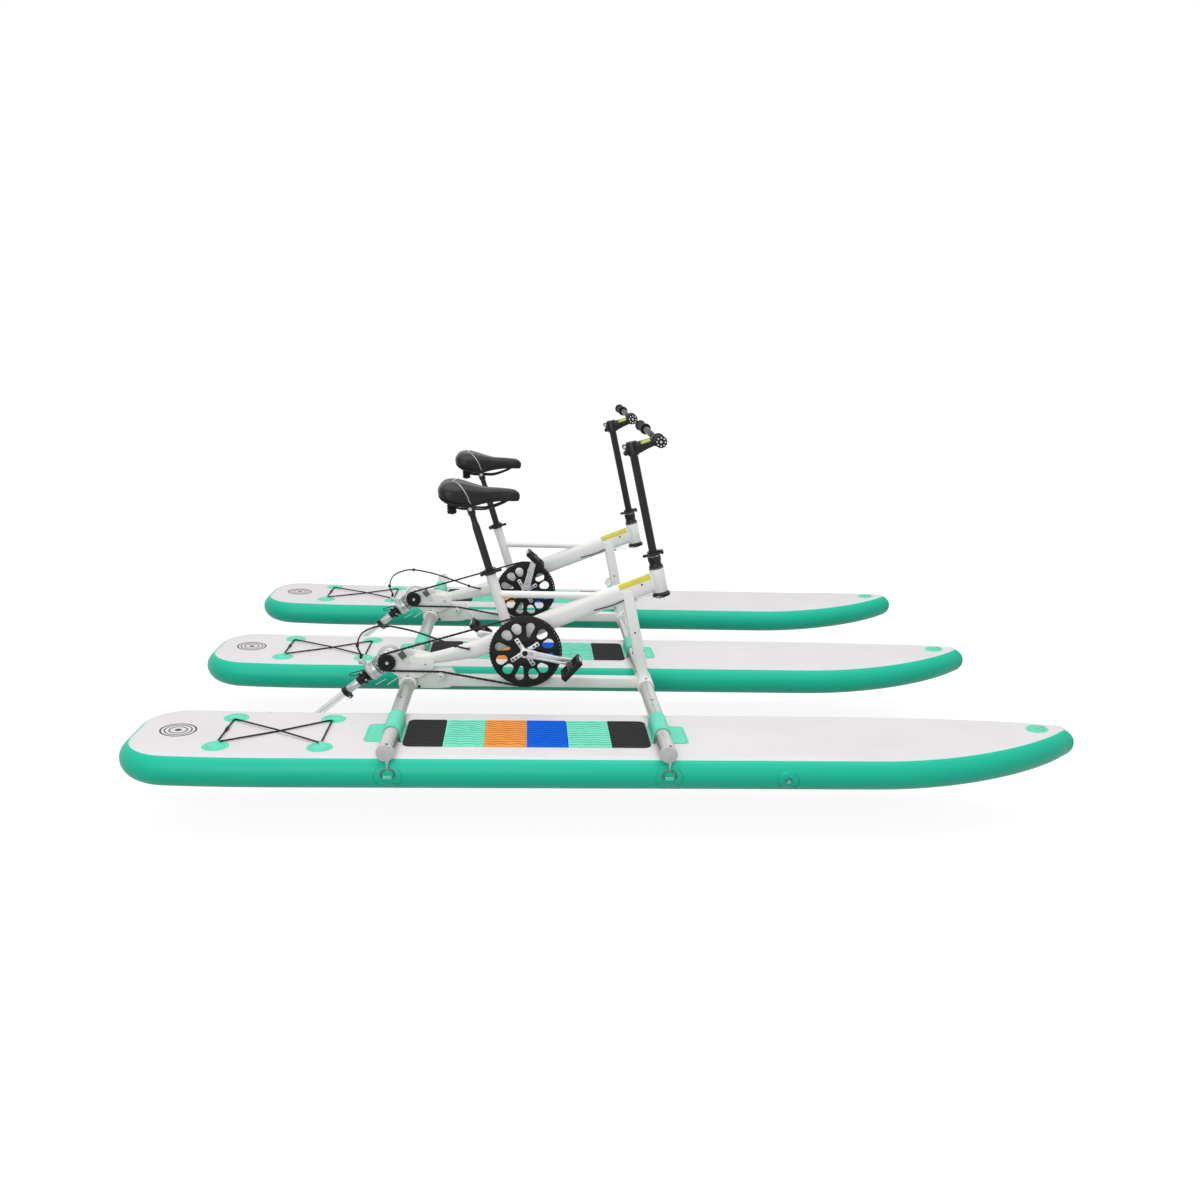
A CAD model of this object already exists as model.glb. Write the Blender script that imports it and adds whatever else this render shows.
import math

import bmesh
import bpy
from mathutils import Matrix, Vector
from mathutils.bvhtree import BVHTree


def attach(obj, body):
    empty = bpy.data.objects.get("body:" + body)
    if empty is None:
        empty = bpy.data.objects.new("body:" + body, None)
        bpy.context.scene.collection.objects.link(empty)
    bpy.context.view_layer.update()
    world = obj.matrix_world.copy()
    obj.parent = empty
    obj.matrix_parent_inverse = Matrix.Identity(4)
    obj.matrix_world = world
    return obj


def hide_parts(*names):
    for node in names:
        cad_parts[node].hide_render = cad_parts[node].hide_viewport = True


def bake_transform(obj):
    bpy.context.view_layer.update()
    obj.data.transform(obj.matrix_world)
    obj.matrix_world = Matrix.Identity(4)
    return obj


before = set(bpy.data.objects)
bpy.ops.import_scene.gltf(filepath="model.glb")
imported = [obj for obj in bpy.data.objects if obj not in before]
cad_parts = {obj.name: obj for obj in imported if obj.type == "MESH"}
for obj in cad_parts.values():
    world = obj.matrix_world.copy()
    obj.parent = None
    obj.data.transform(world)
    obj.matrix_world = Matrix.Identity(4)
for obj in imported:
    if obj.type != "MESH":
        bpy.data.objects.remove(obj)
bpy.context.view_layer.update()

ROOT = "floats_and_frames"
SIDE = Vector((0.0, 1.0, 0.0))
UP = Vector((0.0, 0.0, 1.0))
GAP = 0.0003

FLOAT_LENGTH = 3.03
FLOAT_WIDTH = 0.45
FLOAT_THICKNESS = 0.105
FLOAT_SPACING = 0.92
NOSE_TAPER = 0.65
NOSE_RISE = 0.045
NOSE_RISE_LENGTH = 0.7
TAIL_RISE = 0.012
TAIL_RISE_LENGTH = 0.45
TAIL_CORNER = 0.105
# The white deck sheet wraps over the edge this far before the green rail starts
SEAM_ARC = 0.022

TUBE_RADIUS = 0.025
TUBE_Z = FLOAT_THICKNESS + TUBE_RADIUS + GAP
TUBE_X = {"front": 0.145, "rear": -0.7}
TUBE_HALF_LENGTH = 1.15

# The foam mat on each deck, and where one coloured length meets the next
MAT_REAR, MAT_FRONT = -0.664, 0.108
MAT_HALF_WIDTH = 0.112
MAT_CORNER = 0.024
MAT_THICKNESS = 0.005
MAT_JOINS = (-0.541, -0.414, -0.284, -0.154, -0.016)
GROOVE_SPACING = 0.0193
GROOVE_WAVE = 0.05

STRAP_HALF_WIDTH = 0.075
STRAP_THICKNESS = 0.0028
# The elastic cord's loops: where they stand along and across the deck, and the cord's height over it
CORD_REAR, CORD_FRONT, CORD_ACROSS = -1.22, -0.91, 0.1
CORD_RADIUS = 0.00275
CORD_HEIGHT = 0.00505
CORD_PATCH_ACROSS = 0.1225
NOSE_PATCH_X = 1.4
TAIL_PRINT_X = -1.366


# ---- Finishes ----

def linear(code):
    """The linear colour of an sRGB hex value."""
    shares = [int(code[i:i + 2], 16) / 255 for i in (0, 2, 4)]
    return (*[s / 12.92 if s <= 0.04045 else ((s + 0.055) / 1.055) ** 2.4 for s in shares], 1.0)


def add(tree, kind, inputs=(), stops=(), **settings):
    """One node: an input that is another node's output is linked, any other is set."""
    node = tree.nodes.new("ShaderNode" + kind)
    for name, value in settings.items():
        setattr(node, name, value)
    for key, value in dict(inputs).items():
        if isinstance(value, bpy.types.NodeSocket):
            tree.links.new(value, node.inputs[key])
        else:
            node.inputs[key].default_value = value
    if stops:
        ramp = node.color_ramp
        while len(ramp.elements) < len(stops):
            ramp.elements.new(0.5)
        for element, (place, code) in zip(ramp.elements, stops):
            element.position = place
            element.color = linear(code)
    return node


def surface(name, pale, dark, rough, patch_mm, grain_mm, depth_mm, **values):
    """A Principled finish: colour that drifts over patches, an uneven gloss, and a fine grain."""
    mat = bpy.data.materials.new(name)
    mat.use_nodes = True
    tree = mat.node_tree
    shader = tree.nodes["Principled BSDF"]
    for socket, value in values.items():
        shader.inputs[socket.replace("_", " ")].default_value = value
    where = add(tree, "TexCoord").outputs["Object"]
    drift = add(tree, "TexNoise", {"Vector": where, "Scale": 1000 / patch_mm, "Detail": 3.0})
    tint = add(tree, "ValToRGB", {"Fac": drift.outputs["Fac"]}, [(0.3, dark), (0.7, pale)])
    gloss = add(tree, "MapRange", {"Value": drift.outputs["Fac"], "From Min": 0.3, "From Max": 0.7,
                                   "To Min": rough - 0.05, "To Max": rough + 0.05})
    grain = add(tree, "TexNoise", {"Vector": where, "Scale": 1000 / grain_mm, "Detail": 2.0})
    relief = add(tree, "Bump", {"Height": grain.outputs["Fac"], "Strength": 0.5, "Distance": depth_mm / 1000})
    tree.links.new(tint.outputs["Color"], shader.inputs["Base Color"])
    tree.links.new(gloss.outputs["Result"], shader.inputs["Roughness"])
    tree.links.new(relief.outputs["Normal"], shader.inputs["Normal"])
    return {"material": mat, "tree": tree, "shader": shader, "where": where, "tint": tint, "relief": relief}


def over(made, height, strength, depth_mm):
    """Lays a second relief over a finish's grain."""
    relief = add(made["tree"], "Bump", {"Height": height, "Strength": strength, "Distance": depth_mm / 1000,
                                        "Normal": made["relief"].outputs["Normal"]})
    made["tree"].links.new(relief.outputs["Normal"], made["shader"].inputs["Normal"])


def brushed(made, stretch, depth_mm):
    """Fine lines that run along one axis, as brushing or extrusion leaves them."""
    tree = made["tree"]
    lines = add(tree, "Mapping", {"Vector": made["where"], "Scale": stretch})
    streaks = add(tree, "TexNoise", {"Vector": lines.outputs["Vector"], "Scale": 900.0, "Detail": 2.0})
    over(made, streaks.outputs["Fac"], 0.35, depth_mm)


FINISHES = {}


def finish(name, slot, made):
    FINISHES[name] = (made["material"], slot)
    return made


def hull_finish():
    """Coated drop-stitch PVC: satin sheet with a faint thread grid, pale deck, green rail and welded seam."""
    made = surface("welded_pvc_hull", "E4E1E2", "DEDADB", 0.42, 180, 2.5, 0.05, Specular_IOR_Level=0.25)
    tree = made["tree"]
    shader = made["shader"]
    around = add(tree, "Attribute", attribute_name="around").outputs["Fac"]
    # The attribute is the arc in metres, from 0 on the deck to this under the float
    span = 0.165
    share = add(tree, "MapRange", {"Value": around, "From Min": 0.0, "From Max": span}).outputs["Result"]
    start = SEAM_ARC / span
    line = 0.0022 / span
    bands = add(tree, "ValToRGB", {"Fac": share},
                [(0.0, "000000"), (start, "BFEFE0"), (start + line, "1CC5A2"), (1 - start - line, "BFEFE0"),
                 (1 - start, "000000")])
    bands.color_ramp.interpolation = "CONSTANT"
    rail = add(tree, "TexNoise", {"Vector": made["where"], "Scale": 4.0, "Detail": 2.0})
    shade = add(tree, "MixRGB", {"Fac": rail.outputs["Fac"], "Color1": bands.outputs["Color"],
                                 "Color2": linear("12B996")})
    soft = add(tree, "MixRGB", {"Fac": 0.35, "Color1": bands.outputs["Color"],
                                "Color2": shade.outputs["Color"]})
    is_rail = add(tree, "ValToRGB", {"Fac": share},
                  [(0.0, "000000"), (start, "FFFFFF"), (1 - start, "000000")])
    is_rail.color_ramp.interpolation = "CONSTANT"
    colour = add(tree, "MixRGB", {"Fac": is_rail.outputs["Color"], "Color1": made["tint"].outputs["Color"],
                                  "Color2": soft.outputs["Color"]})
    tree.links.new(colour.outputs["Color"], shader.inputs["Base Color"])
    # The threads under the coating stand 3 mm apart, drawn at 4 mm so that they show
    weave = add(tree, "TexBrick", {"Vector": made["where"], "Scale": 250.0, "Mortar Size": 0.08,
                                   "Color1": linear("FFFFFF"), "Color2": linear("E0E0E0"),
                                   "Mortar": linear("808080")})
    edge = add(tree, "ValToRGB", {"Fac": share},
               [(start - 0.004, "000000"), (start, "FFFFFF"), (start + 0.11, "FFFFFF"),
                (start + 0.115, "808080"), (0.5, "808080")])
    over(made, weave.outputs["Color"], 0.25, 0.12)
    step = add(tree, "Bump", {"Height": edge.outputs["Color"], "Strength": 0.6, "Distance": 0.0006,
                              "Normal": shader.inputs["Normal"].links[0].from_socket})
    tree.links.new(step.outputs["Normal"], shader.inputs["Normal"])
    return made


def foam_finish():
    """Closed-cell EVA sheet in six coloured lengths; soft and quite matt, and darker down in its grooves."""
    made = surface("grooved_eva_foam", "FFFFFF", "EFEFEF", 0.85, 40, 1.2, 0.12, Specular_IOR_Level=0.12)
    tree = made["tree"]
    places = add(tree, "SeparateXYZ", {"Vector": made["where"]})
    share = add(tree, "MapRange", {"Value": places.outputs["X"], "From Min": MAT_REAR, "From Max": MAT_FRONT})
    colours = zip((MAT_REAR, *MAT_JOINS), ("323132", "7BDFC2", "EB974A", "0A62DC", "7BDFC2", "323132"))
    lengths = add(tree, "ValToRGB", {"Fac": share.outputs["Result"]},
                  [((x - MAT_REAR) / (MAT_FRONT - MAT_REAR), code) for x, code in colours])
    lengths.color_ramp.interpolation = "CONSTANT"
    depth = add(tree, "Attribute", attribute_name="groove")
    shade = add(tree, "MapRange", {"Value": depth.outputs["Fac"], "To Min": 1.16, "To Max": 0.34})
    worn = add(tree, "MixRGB", {"Fac": 1.0, "Color1": lengths.outputs["Color"],
                                "Color2": made["tint"].outputs["Color"]}, blend_type="MULTIPLY")
    shaded = add(tree, "MixRGB", {"Fac": 1.0, "Color1": worn.outputs["Color"],
                                  "Color2": shade.outputs["Result"]}, blend_type="MULTIPLY")
    tree.links.new(shaded.outputs["Color"], made["shader"].inputs["Base Color"])
    return made


def stitched_finish():
    """PVC-coated webbing: a fine rib across the band and one row of stitches 7 mm in from its edges."""
    made = surface("stitched_pvc_webbing", "70DDC0", "5FD3B3", 0.52, 60, 1.0, 0.08, Specular_IOR_Level=0.3)
    tree = made["tree"]
    uv = add(tree, "UVMap")
    flat = add(tree, "SeparateXYZ", {"Vector": uv.outputs["UV"]})
    # The UV map is in metres: X along the band, Y the distance from its nearest edge
    rib = add(tree, "TexWave", {"Vector": uv.outputs["UV"], "Scale": 1000 / 2.2 / 6.283 * 2},
              bands_direction="X")
    over(made, rib.outputs["Fac"], 0.3, 0.15)
    row = add(tree, "Math", {0: flat.outputs["Y"], 1: 0.007, 2: 0.0008}, operation="COMPARE")
    dash = add(tree, "Math", {0: flat.outputs["X"], 1: 0.005}, operation="MODULO")
    long = add(tree, "Math", {0: dash.outputs[0], 1: 0.0035}, operation="LESS_THAN")
    stitch = add(tree, "Math", {0: row.outputs[0], 1: long.outputs[0]}, operation="MULTIPLY")
    colour = add(tree, "MixRGB", {"Fac": stitch.outputs[0], "Color1": made["tint"].outputs["Color"],
                                  "Color2": linear("3FA88A")})
    tree.links.new(colour.outputs["Color"], made["shader"].inputs["Base Color"])
    return made


def cord_finish(name, pale, dark, pitch_mm):
    """Braided sheath: two sets of strands that cross, seen as small lozenges with a dull sheen."""
    made = surface(name, pale, dark, 0.6, 30, 1.0, 0.05, Specular_IOR_Level=0.2)
    tree = made["tree"]
    strands = add(tree, "TexVoronoi", {"Vector": made["where"], "Scale": 1000 / pitch_mm})
    over(made, strands.outputs["Distance"], 0.6, 0.4)
    return made


def vinyl_finish():
    """Vinyl saddle cover: leather-like pebble grain with a soft sheen that is duller on the sides."""
    made = surface("pebbled_vinyl_cover", "121113", "0B0A0C", 0.36, 45, 1.2, 0.05, Specular_IOR_Level=0.3)
    tree = made["tree"]
    pebbles = add(tree, "TexVoronoi", {"Vector": made["where"], "Scale": 420.0}, feature="SMOOTH_F1")
    over(made, pebbles.outputs["Distance"], 0.45, 0.35)
    return made


def ribbed_rubber_finish():
    """Moulded grip rubber: matt black with a diamond of raised ribs about 3 mm apart."""
    made = surface("moulded_grip_rubber", "1C1C1C", "131313", 0.72, 30, 0.8, 0.05, Specular_IOR_Level=0.2)
    tree = made["tree"]
    rings = add(tree, "TexWave", {"Vector": made["where"], "Scale": 52.0}, bands_direction="Y")
    over(made, rings.outputs["Fac"], 0.5, 0.5)
    return made


finish("hull", "float_skin", hull_finish())
finish("foam", "deck_foam", foam_finish())
finish("webbing", "webbing", stitched_finish())
# Welded PVC patch: the mint sheet of the webbing, a little glossier, with the weld's soft edge
finish("patch", "webbing", surface("welded_pvc_patch", "66DFBF", "55D2B0", 0.4, 50, 1.5, 0.08,
                                   Specular_IOR_Level=0.3))
# Rail-coloured PVC patch on the float's side
finish("rail_patch", "float_skin", surface("welded_rail_patch", "28C9A7", "1DBD9A", 0.4, 50, 1.5, 0.08,
                                           Specular_IOR_Level=0.3))
# Screen ink on the deck: dull grey-black, slightly broken by the sheet's grain
finish("ink", "cord", surface("screen_printed_ink", "4A4A4C", "37373A", 0.62, 12, 0.8, 0.03))
finish("bungee", "cord", cord_finish("braided_elastic_cord", "2C2B2C", "1A1919", 1.6))
finish("cable", "cord", surface("extruded_cable_sheath", "1A1A1B", "101011", 0.36, 60, 2.0, 0.03,
                                Specular_IOR_Level=0.3))
# Extruded aluminium, clear anodised: silver-grey with long draw lines and a broad soft highlight
tube_made = finish("tube", "bare_tube",
                   surface("extruded_aluminium_tube", "D6D6D3", "C6C6C3", 0.3, 120, 1.5, 0.02, Metallic=0.8))
brushed(tube_made, (1.0, 0.02, 1.0), 0.03)
# Powder coat over welded aluminium: warm white, satin, with a fine orange peel
finish("paint", "frame_paint", surface("powder_coated_frame", "F5F4F2", "EDECEA", 0.33, 140, 2.2, 0.1))
# Grey moulded polyethylene caps, dull, with faint flow marks
finish("cap", "bare_tube", surface("moulded_grey_cap", "CFCFD0", "C2C2C5", 0.48, 25, 1.0, 0.06))
# Black anodised aluminium: dark, smooth, with a clean tight highlight
finish("anodised", "black_metal", surface("black_anodised_metal", "141416", "0D0D0F", 0.32, 60, 1.0, 0.02,
                                          Specular_IOR_Level=0.32))
# Glass-filled nylon: black, fine spark-eroded texture
finish("nylon", "black_plastic", surface("black_moulded_nylon", "151516", "0D0D0E", 0.5, 40, 0.9, 0.07,
                                         Specular_IOR_Level=0.25))
finish("rubber", "grip_rubber", ribbed_rubber_finish())
finish("vinyl", "saddle_cover", vinyl_finish())
# Reflective silver piping cord in the saddle's seam
finish("piping", "saddle_cover", surface("silver_piping", "C9CACC", "A9AAAD", 0.35, 10, 0.8, 0.05,
                                         Metallic=0.3))
# Die-cast aluminium, bead blasted: light grey metal with a pebbled skin
finish("cast", "cast_metal", surface("blasted_cast_aluminium", "C6C7C8", "AEB0B2", 0.4, 30, 1.1, 0.1,
                                     Metallic=0.75))
# Forged crank: polished bright, faint buffing lines
polished = finish("polished", "polished_metal",
                  surface("polished_forged_aluminium", "E0E0DF", "D0D1D2", 0.3, 50, 1.5, 0.02, Metallic=0.85))
brushed(polished, (0.05, 1.0, 1.0), 0.02)
# Stainless wire and fasteners
finish("stainless", "polished_metal", surface("stainless_fittings", "C2C3C5", "A6A8AB", 0.26, 12, 0.8, 0.03,
                                              Metallic=0.9))
# Blued chain steel under oil
finish("chain", "black_metal", surface("oiled_chain_steel", "1C1C1E", "101011", 0.48, 14, 0.7, 0.04,
                                       Metallic=0.25))
# Plain sticker film, yellow-green, low gloss
finish("label", "frame_paint", surface("plain_label_film", "D5CF3A", "C8C030", 0.4, 30, 1.0, 0.02))
# Yellow-green sticker film on the stem
finish("green_label", "frame_paint", surface("plain_green_film", "B4C44C", "A6B640", 0.4, 30, 1.0, 0.02))
# Dark burnished steel of the tie rings
finish("dark_steel", "polished_metal", surface("burnished_dark_steel", "6E7174", "55585B", 0.3, 12, 0.8, 0.03,
                                               Metallic=0.85))
# Grey moulded block on the yoke
finish("grey", "black_plastic", surface("grey_moulded_nylon", "5A5B5E", "47484B", 0.5, 20, 0.9, 0.07))
# Small white plastic parts
finish("white", "frame_paint", surface("white_moulded_nylon", "E8E7E4", "DCDBD8", 0.42, 25, 0.9, 0.06))


# ---- Shapes ----

def cleaned(bm, place):
    """Merged, turned outwards and put in place."""
    bmesh.ops.remove_doubles(bm, verts=bm.verts, dist=1e-6)
    bmesh.ops.recalc_face_normals(bm, faces=bm.faces)
    bm.transform(place)
    return bm


def mm(*rows):
    """Rows of millimetres as metres."""
    return [tuple(value / 1000 for value in row) for row in rows]


def mirrored(half):
    """Half an outline with its mirror image after it."""
    return [*half, *[(x, -y) for x, y in half[::-1]]]


def at(x, y, z):
    return Matrix.Translation((x, y, z))


def spin(degrees, axis="Z"):
    return Matrix.Rotation(math.radians(degrees), 4, axis)


def spread(count, start=0.0):
    """Angles spread evenly round a circle."""
    return [start + 2 * math.pi * k / count for k in range(count)]


def in_turn(items):
    """Each item with the next, and the last with the first."""
    return list(zip(items, [*items[1:], items[0]]))


def along(point, direction):
    """Sends the origin to a point and local Z along a direction, with local Y kept level."""
    z = Vector(direction).normalized()
    side = SIDE if abs(z.dot(SIDE)) < 0.9 else Vector((-1.0, 0.0, 0.0))
    x = side.cross(z).normalized()
    return Matrix.Translation(point) @ Matrix((x, z.cross(x), z)).transposed().to_4x4()


def upright(y):
    """Stands a flat plate in the XZ plane at a given Y."""
    return at(0, y, 0) @ spin(90, "X")


def arc(centre, radius, start, end, steps):
    """Points on an arc, angles in degrees, both ends included."""
    for i in range(steps + 1):
        angle = math.radians(start + (end - start) * i / steps)
        yield (centre[0] + radius * math.cos(angle), centre[1] + radius * math.sin(angle))


def smooth_line(knots, steps):
    """Points on a smooth curve through the knots."""
    knots = [Vector(k) for k in knots]
    ends = [2 * knots[0] - knots[1], *knots, 2 * knots[-1] - knots[-2]]
    points = []
    for p0, p1, p2, p3 in zip(ends, ends[1:], ends[2:], ends[3:]):
        for i in range(steps):
            t = i / steps
            bend = (2 * p0 - 5 * p1 + 4 * p2 - p3) * t ** 2 + (3 * p1 - p0 - 3 * p2 + p3) * t ** 3
            points.append((2 * p1 + (p2 - p0) * t + bend) / 2)
    return [*points, knots[-1]]


def turned(profile, place=Matrix(), steps=40, ring=False):
    """A profile of (radius, height) spun once round local Z."""
    bm = bmesh.new()
    spots = [bm.verts.new((radius, 0.0, height)) for radius, height in profile]
    edges = [bm.edges.new(pair) for pair in zip(spots, spots[1:])]
    if ring:
        edges.append(bm.edges.new((spots[-1], spots[0])))
    bmesh.ops.spin(bm, geom=spots + edges, cent=(0, 0, 0), axis=(0, 0, 1), dvec=(0, 0, 0),
                   angle=2 * math.pi, steps=steps, use_merge=True)
    return cleaned(bm, place)


def drum(radius, low, high, edge):
    """Half the outline of a solid cylinder with broken edges."""
    return [(0, high), (radius - edge, high), (radius, high - edge), (radius, low + edge),
            (radius - edge, low), (0, low)]


def rod(start, end, radius, edge=0.0006, steps=32):
    """A round bar between two points, with its end edges broken."""
    start, end = Vector(start), Vector(end)
    return turned(drum(radius, 0, (end - start).length, edge), along(start, end - start), steps)


def sleeve(start, end, inner, outer, edge=0.0008, steps=40):
    """A tube with a bore, between two points."""
    start, end = Vector(start), Vector(end)
    length = (end - start).length
    profile = [(inner, length), (outer - edge, length), (outer, length - edge)]
    profile += [(outer, edge), (outer - edge, 0), (inner, 0)]
    return turned(profile, along(start, end - start), steps, ring=True)


def block(size, place=Matrix(), edge=0.001, segments=2):
    bm = bmesh.new()
    bmesh.ops.create_cube(bm, size=1.0)
    bmesh.ops.scale(bm, vec=size, verts=bm.verts)
    bmesh.ops.bevel(bm, geom=bm.edges[:], offset=edge, segments=segments, affect="EDGES", profile=0.5,
                    material=-1)
    return cleaned(bm, place)


def taken(curve):
    """A curve's shape as a bmesh."""
    obj = bpy.data.objects.new("curve", curve)
    bpy.context.scene.collection.objects.link(obj)
    bpy.context.view_layer.update()
    mesh = bpy.data.meshes.new_from_object(obj.evaluated_get(bpy.context.evaluated_depsgraph_get()))
    bpy.data.objects.remove(obj)
    bm = bmesh.new()
    bm.from_mesh(mesh)
    bpy.data.meshes.remove(mesh)
    return bm


def straight_lines(lines, dimensions, cyclic, **settings):
    """The bmesh of a curve with straight runs through the points of each line."""
    curve = bpy.data.curves.new("lines", "CURVE")
    curve.dimensions = dimensions
    for name, value in settings.items():
        setattr(curve, name, value)
    for line in lines:
        points = [(*point, 0.0)[:3] for point in line]
        spline = curve.splines.new("POLY")
        spline.points.add(len(points) - 1)
        spline.use_cyclic_u = cyclic
        for spot, point in zip(spline.points, points):
            spot.co = (*point, 1.0)
    return taken(curve)


def flat(outlines, thickness, place=Matrix(), edge=0.0005, rounding=1):
    """A plate in local XY with broken edges; outlines after the first are its windows."""
    return cleaned(straight_lines(outlines, "2D", True, fill_mode="BOTH", extrude=thickness / 2 - edge,
                                  bevel_depth=edge, bevel_resolution=rounding, offset=-edge), place)


def pipe(points, radius, cyclic=False, sides=2, place=Matrix()):
    """A round wire through points; sides is the curve's bevel resolution."""
    return cleaned(straight_lines([points], "3D", cyclic, bevel_depth=radius, bevel_resolution=sides,
                                  use_fill_caps=not cyclic), place)


def skin(rings, place=Matrix()):
    """Rings of points bridged one to the next, with the ends closed."""
    bm = bmesh.new()
    before = None
    for ring in rings:
        spots = [bm.verts.new(p) for p in ring]
        loop = [bm.edges.new(pair) for pair in in_turn(spots)]
        if before:
            bmesh.ops.bridge_loops(bm, edges=before + loop)
        else:
            bm.faces.new(spots)
        before = loop
    bm.faces.new(spots)
    return cleaned(bm, place)


def bolt(place, radius, height):
    """A socket-head screw that stands on local Z."""
    profile = [(0, height * 0.45), (radius * 0.5, height * 0.45), (radius * 0.5, height),
               (radius * 0.85, height)]
    return turned([*profile, (radius, height * 0.85), (radius, 0), (0, 0)], place, 20)


def nut(place, across, height):
    """A hexagon nut with a rounded thread end."""
    bm = bmesh.new()
    bmesh.ops.create_cone(bm, cap_ends=True, segments=6, radius1=across * 0.577, radius2=across * 0.577,
                          depth=height)
    bmesh.ops.translate(bm, vec=(0, 0, height / 2), verts=bm.verts)
    bmesh.ops.bevel(bm, geom=bm.edges[:], offset=0.0004, segments=1, affect="EDGES", profile=0.5, material=-1)
    return cleaned(bm, place)


def joined(*shapes):
    """Several shapes as one."""
    whole = bmesh.new()
    for shape in shapes:
        mesh = bpy.data.meshes.new("joined")
        shape.to_mesh(mesh)
        shape.free()
        whole.from_mesh(mesh)
        bpy.data.meshes.remove(mesh)
    return whole


def piece(name, body, finish_name, *shapes, stands_for=(), crease=38):
    """Joins shapes into one named piece that rides on a body."""
    whole = joined(*shapes)
    mesh = bpy.data.meshes.new(name)
    whole.to_mesh(mesh)
    whole.free()
    mat, slot = FINISHES[finish_name]
    mesh.materials.append(mat)
    mesh.shade_smooth()
    mesh.set_sharp_from_angle(angle=math.radians(crease))
    obj = bpy.data.objects.new(name, mesh)
    bpy.context.scene.collection.objects.link(obj)
    if stands_for:
        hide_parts(*stands_for)
    if body:
        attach(obj, body)
    return obj


# ---- Floats ----

def rise(x):
    """Height that the float's nose and tail curve up."""
    nose = max(0.0, (x - FLOAT_LENGTH / 2 + NOSE_RISE_LENGTH) / NOSE_RISE_LENGTH)
    tail = max(0.0, (-x - FLOAT_LENGTH / 2 + TAIL_RISE_LENGTH) / TAIL_RISE_LENGTH)
    return NOSE_RISE * nose ** 2 + TAIL_RISE * tail ** 2


def deck_outline():
    """The float's flat top without its half-round sides, seen from above."""
    side = FLOAT_THICKNESS / 2
    half_width = FLOAT_WIDTH / 2 - side
    tip = FLOAT_LENGTH / 2 - side
    nose = []
    for i in range(25):
        t = 0.985 * math.sin(math.pi / 2 * i / 24)
        nose.append((tip - NOSE_TAPER + NOSE_TAPER * t, half_width * (1 - t ** 1.9) ** 0.8))
    nose.append((tip, 0.004))
    tail = list(arc((-tip + TAIL_CORNER, half_width - TAIL_CORNER), TAIL_CORNER, 90, 180, 10))
    return mirrored(nose[::-1] + tail)


def hull(y):
    """The float's skin, with the distance round its rail kept in an attribute for the two colours."""
    bm = straight_lines([deck_outline()], "2D", True, fill_mode="BOTH", bevel_depth=FLOAT_THICKNESS / 2,
                        bevel_resolution=10)
    bmesh.ops.remove_doubles(bm, verts=bm.verts, dist=1e-6)
    bmesh.ops.dissolve_limit(bm, angle_limit=math.radians(0.1), verts=bm.verts, edges=bm.edges)
    stations = [FLOAT_LENGTH / 2 - NOSE_RISE_LENGTH * i / 22 for i in range(1, 23)]
    stations += [TAIL_RISE_LENGTH * i / 10 - FLOAT_LENGTH / 2 for i in range(1, 11)]
    for x in stations:
        everything = bm.verts[:] + bm.edges[:] + bm.faces[:]
        bmesh.ops.bisect_plane(bm, geom=everything, dist=1e-6, plane_co=(x, 0, 0), plane_no=(1, 0, 0))
    around = bm.verts.layers.float.new("around")
    half = FLOAT_THICKNESS / 2
    for vert in bm.verts:
        vert[around] = math.acos(max(-1.0, min(1.0, vert.co.z / half))) * half
        vert.co.z += half + rise(vert.co.x)
    bm.transform(at(0, y, 0))
    return bm


def on_deck(bm, y, lift=0.0):
    """Lays a flat shape on the deck, which curves up at nose and tail."""
    for vert in bm.verts:
        vert.co.z += FLOAT_THICKNESS + rise(vert.co.x) + lift
        vert.co.y += y
    return bm


def flat_ring(x, y, inner, outer):
    return turned([(inner, 0.00015), (outer, 0.00015), (outer, -0.0002), (inner, -0.0002)], at(x, y, 0), 56,
                  ring=True)


def d_ring(place, width, wire):
    """A welded D-ring in local XY: the straight bar lies along X through the origin, the bow towards +Y."""
    half = width / 2
    bow = [(half * math.cos(a), half * 0.35 + half * 0.95 * math.sin(a)) for a in
           [math.pi * i / 16 for i in range(17)]]
    points = [Vector((x, y, 0)) for x, y in [(-half * 0.9, 0), (half * 0.9, 0), (half, half * 0.12), *bow,
                                             (-half, half * 0.12)]]
    return pipe(points, wire, cyclic=True, sides=3, place=place)


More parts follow.
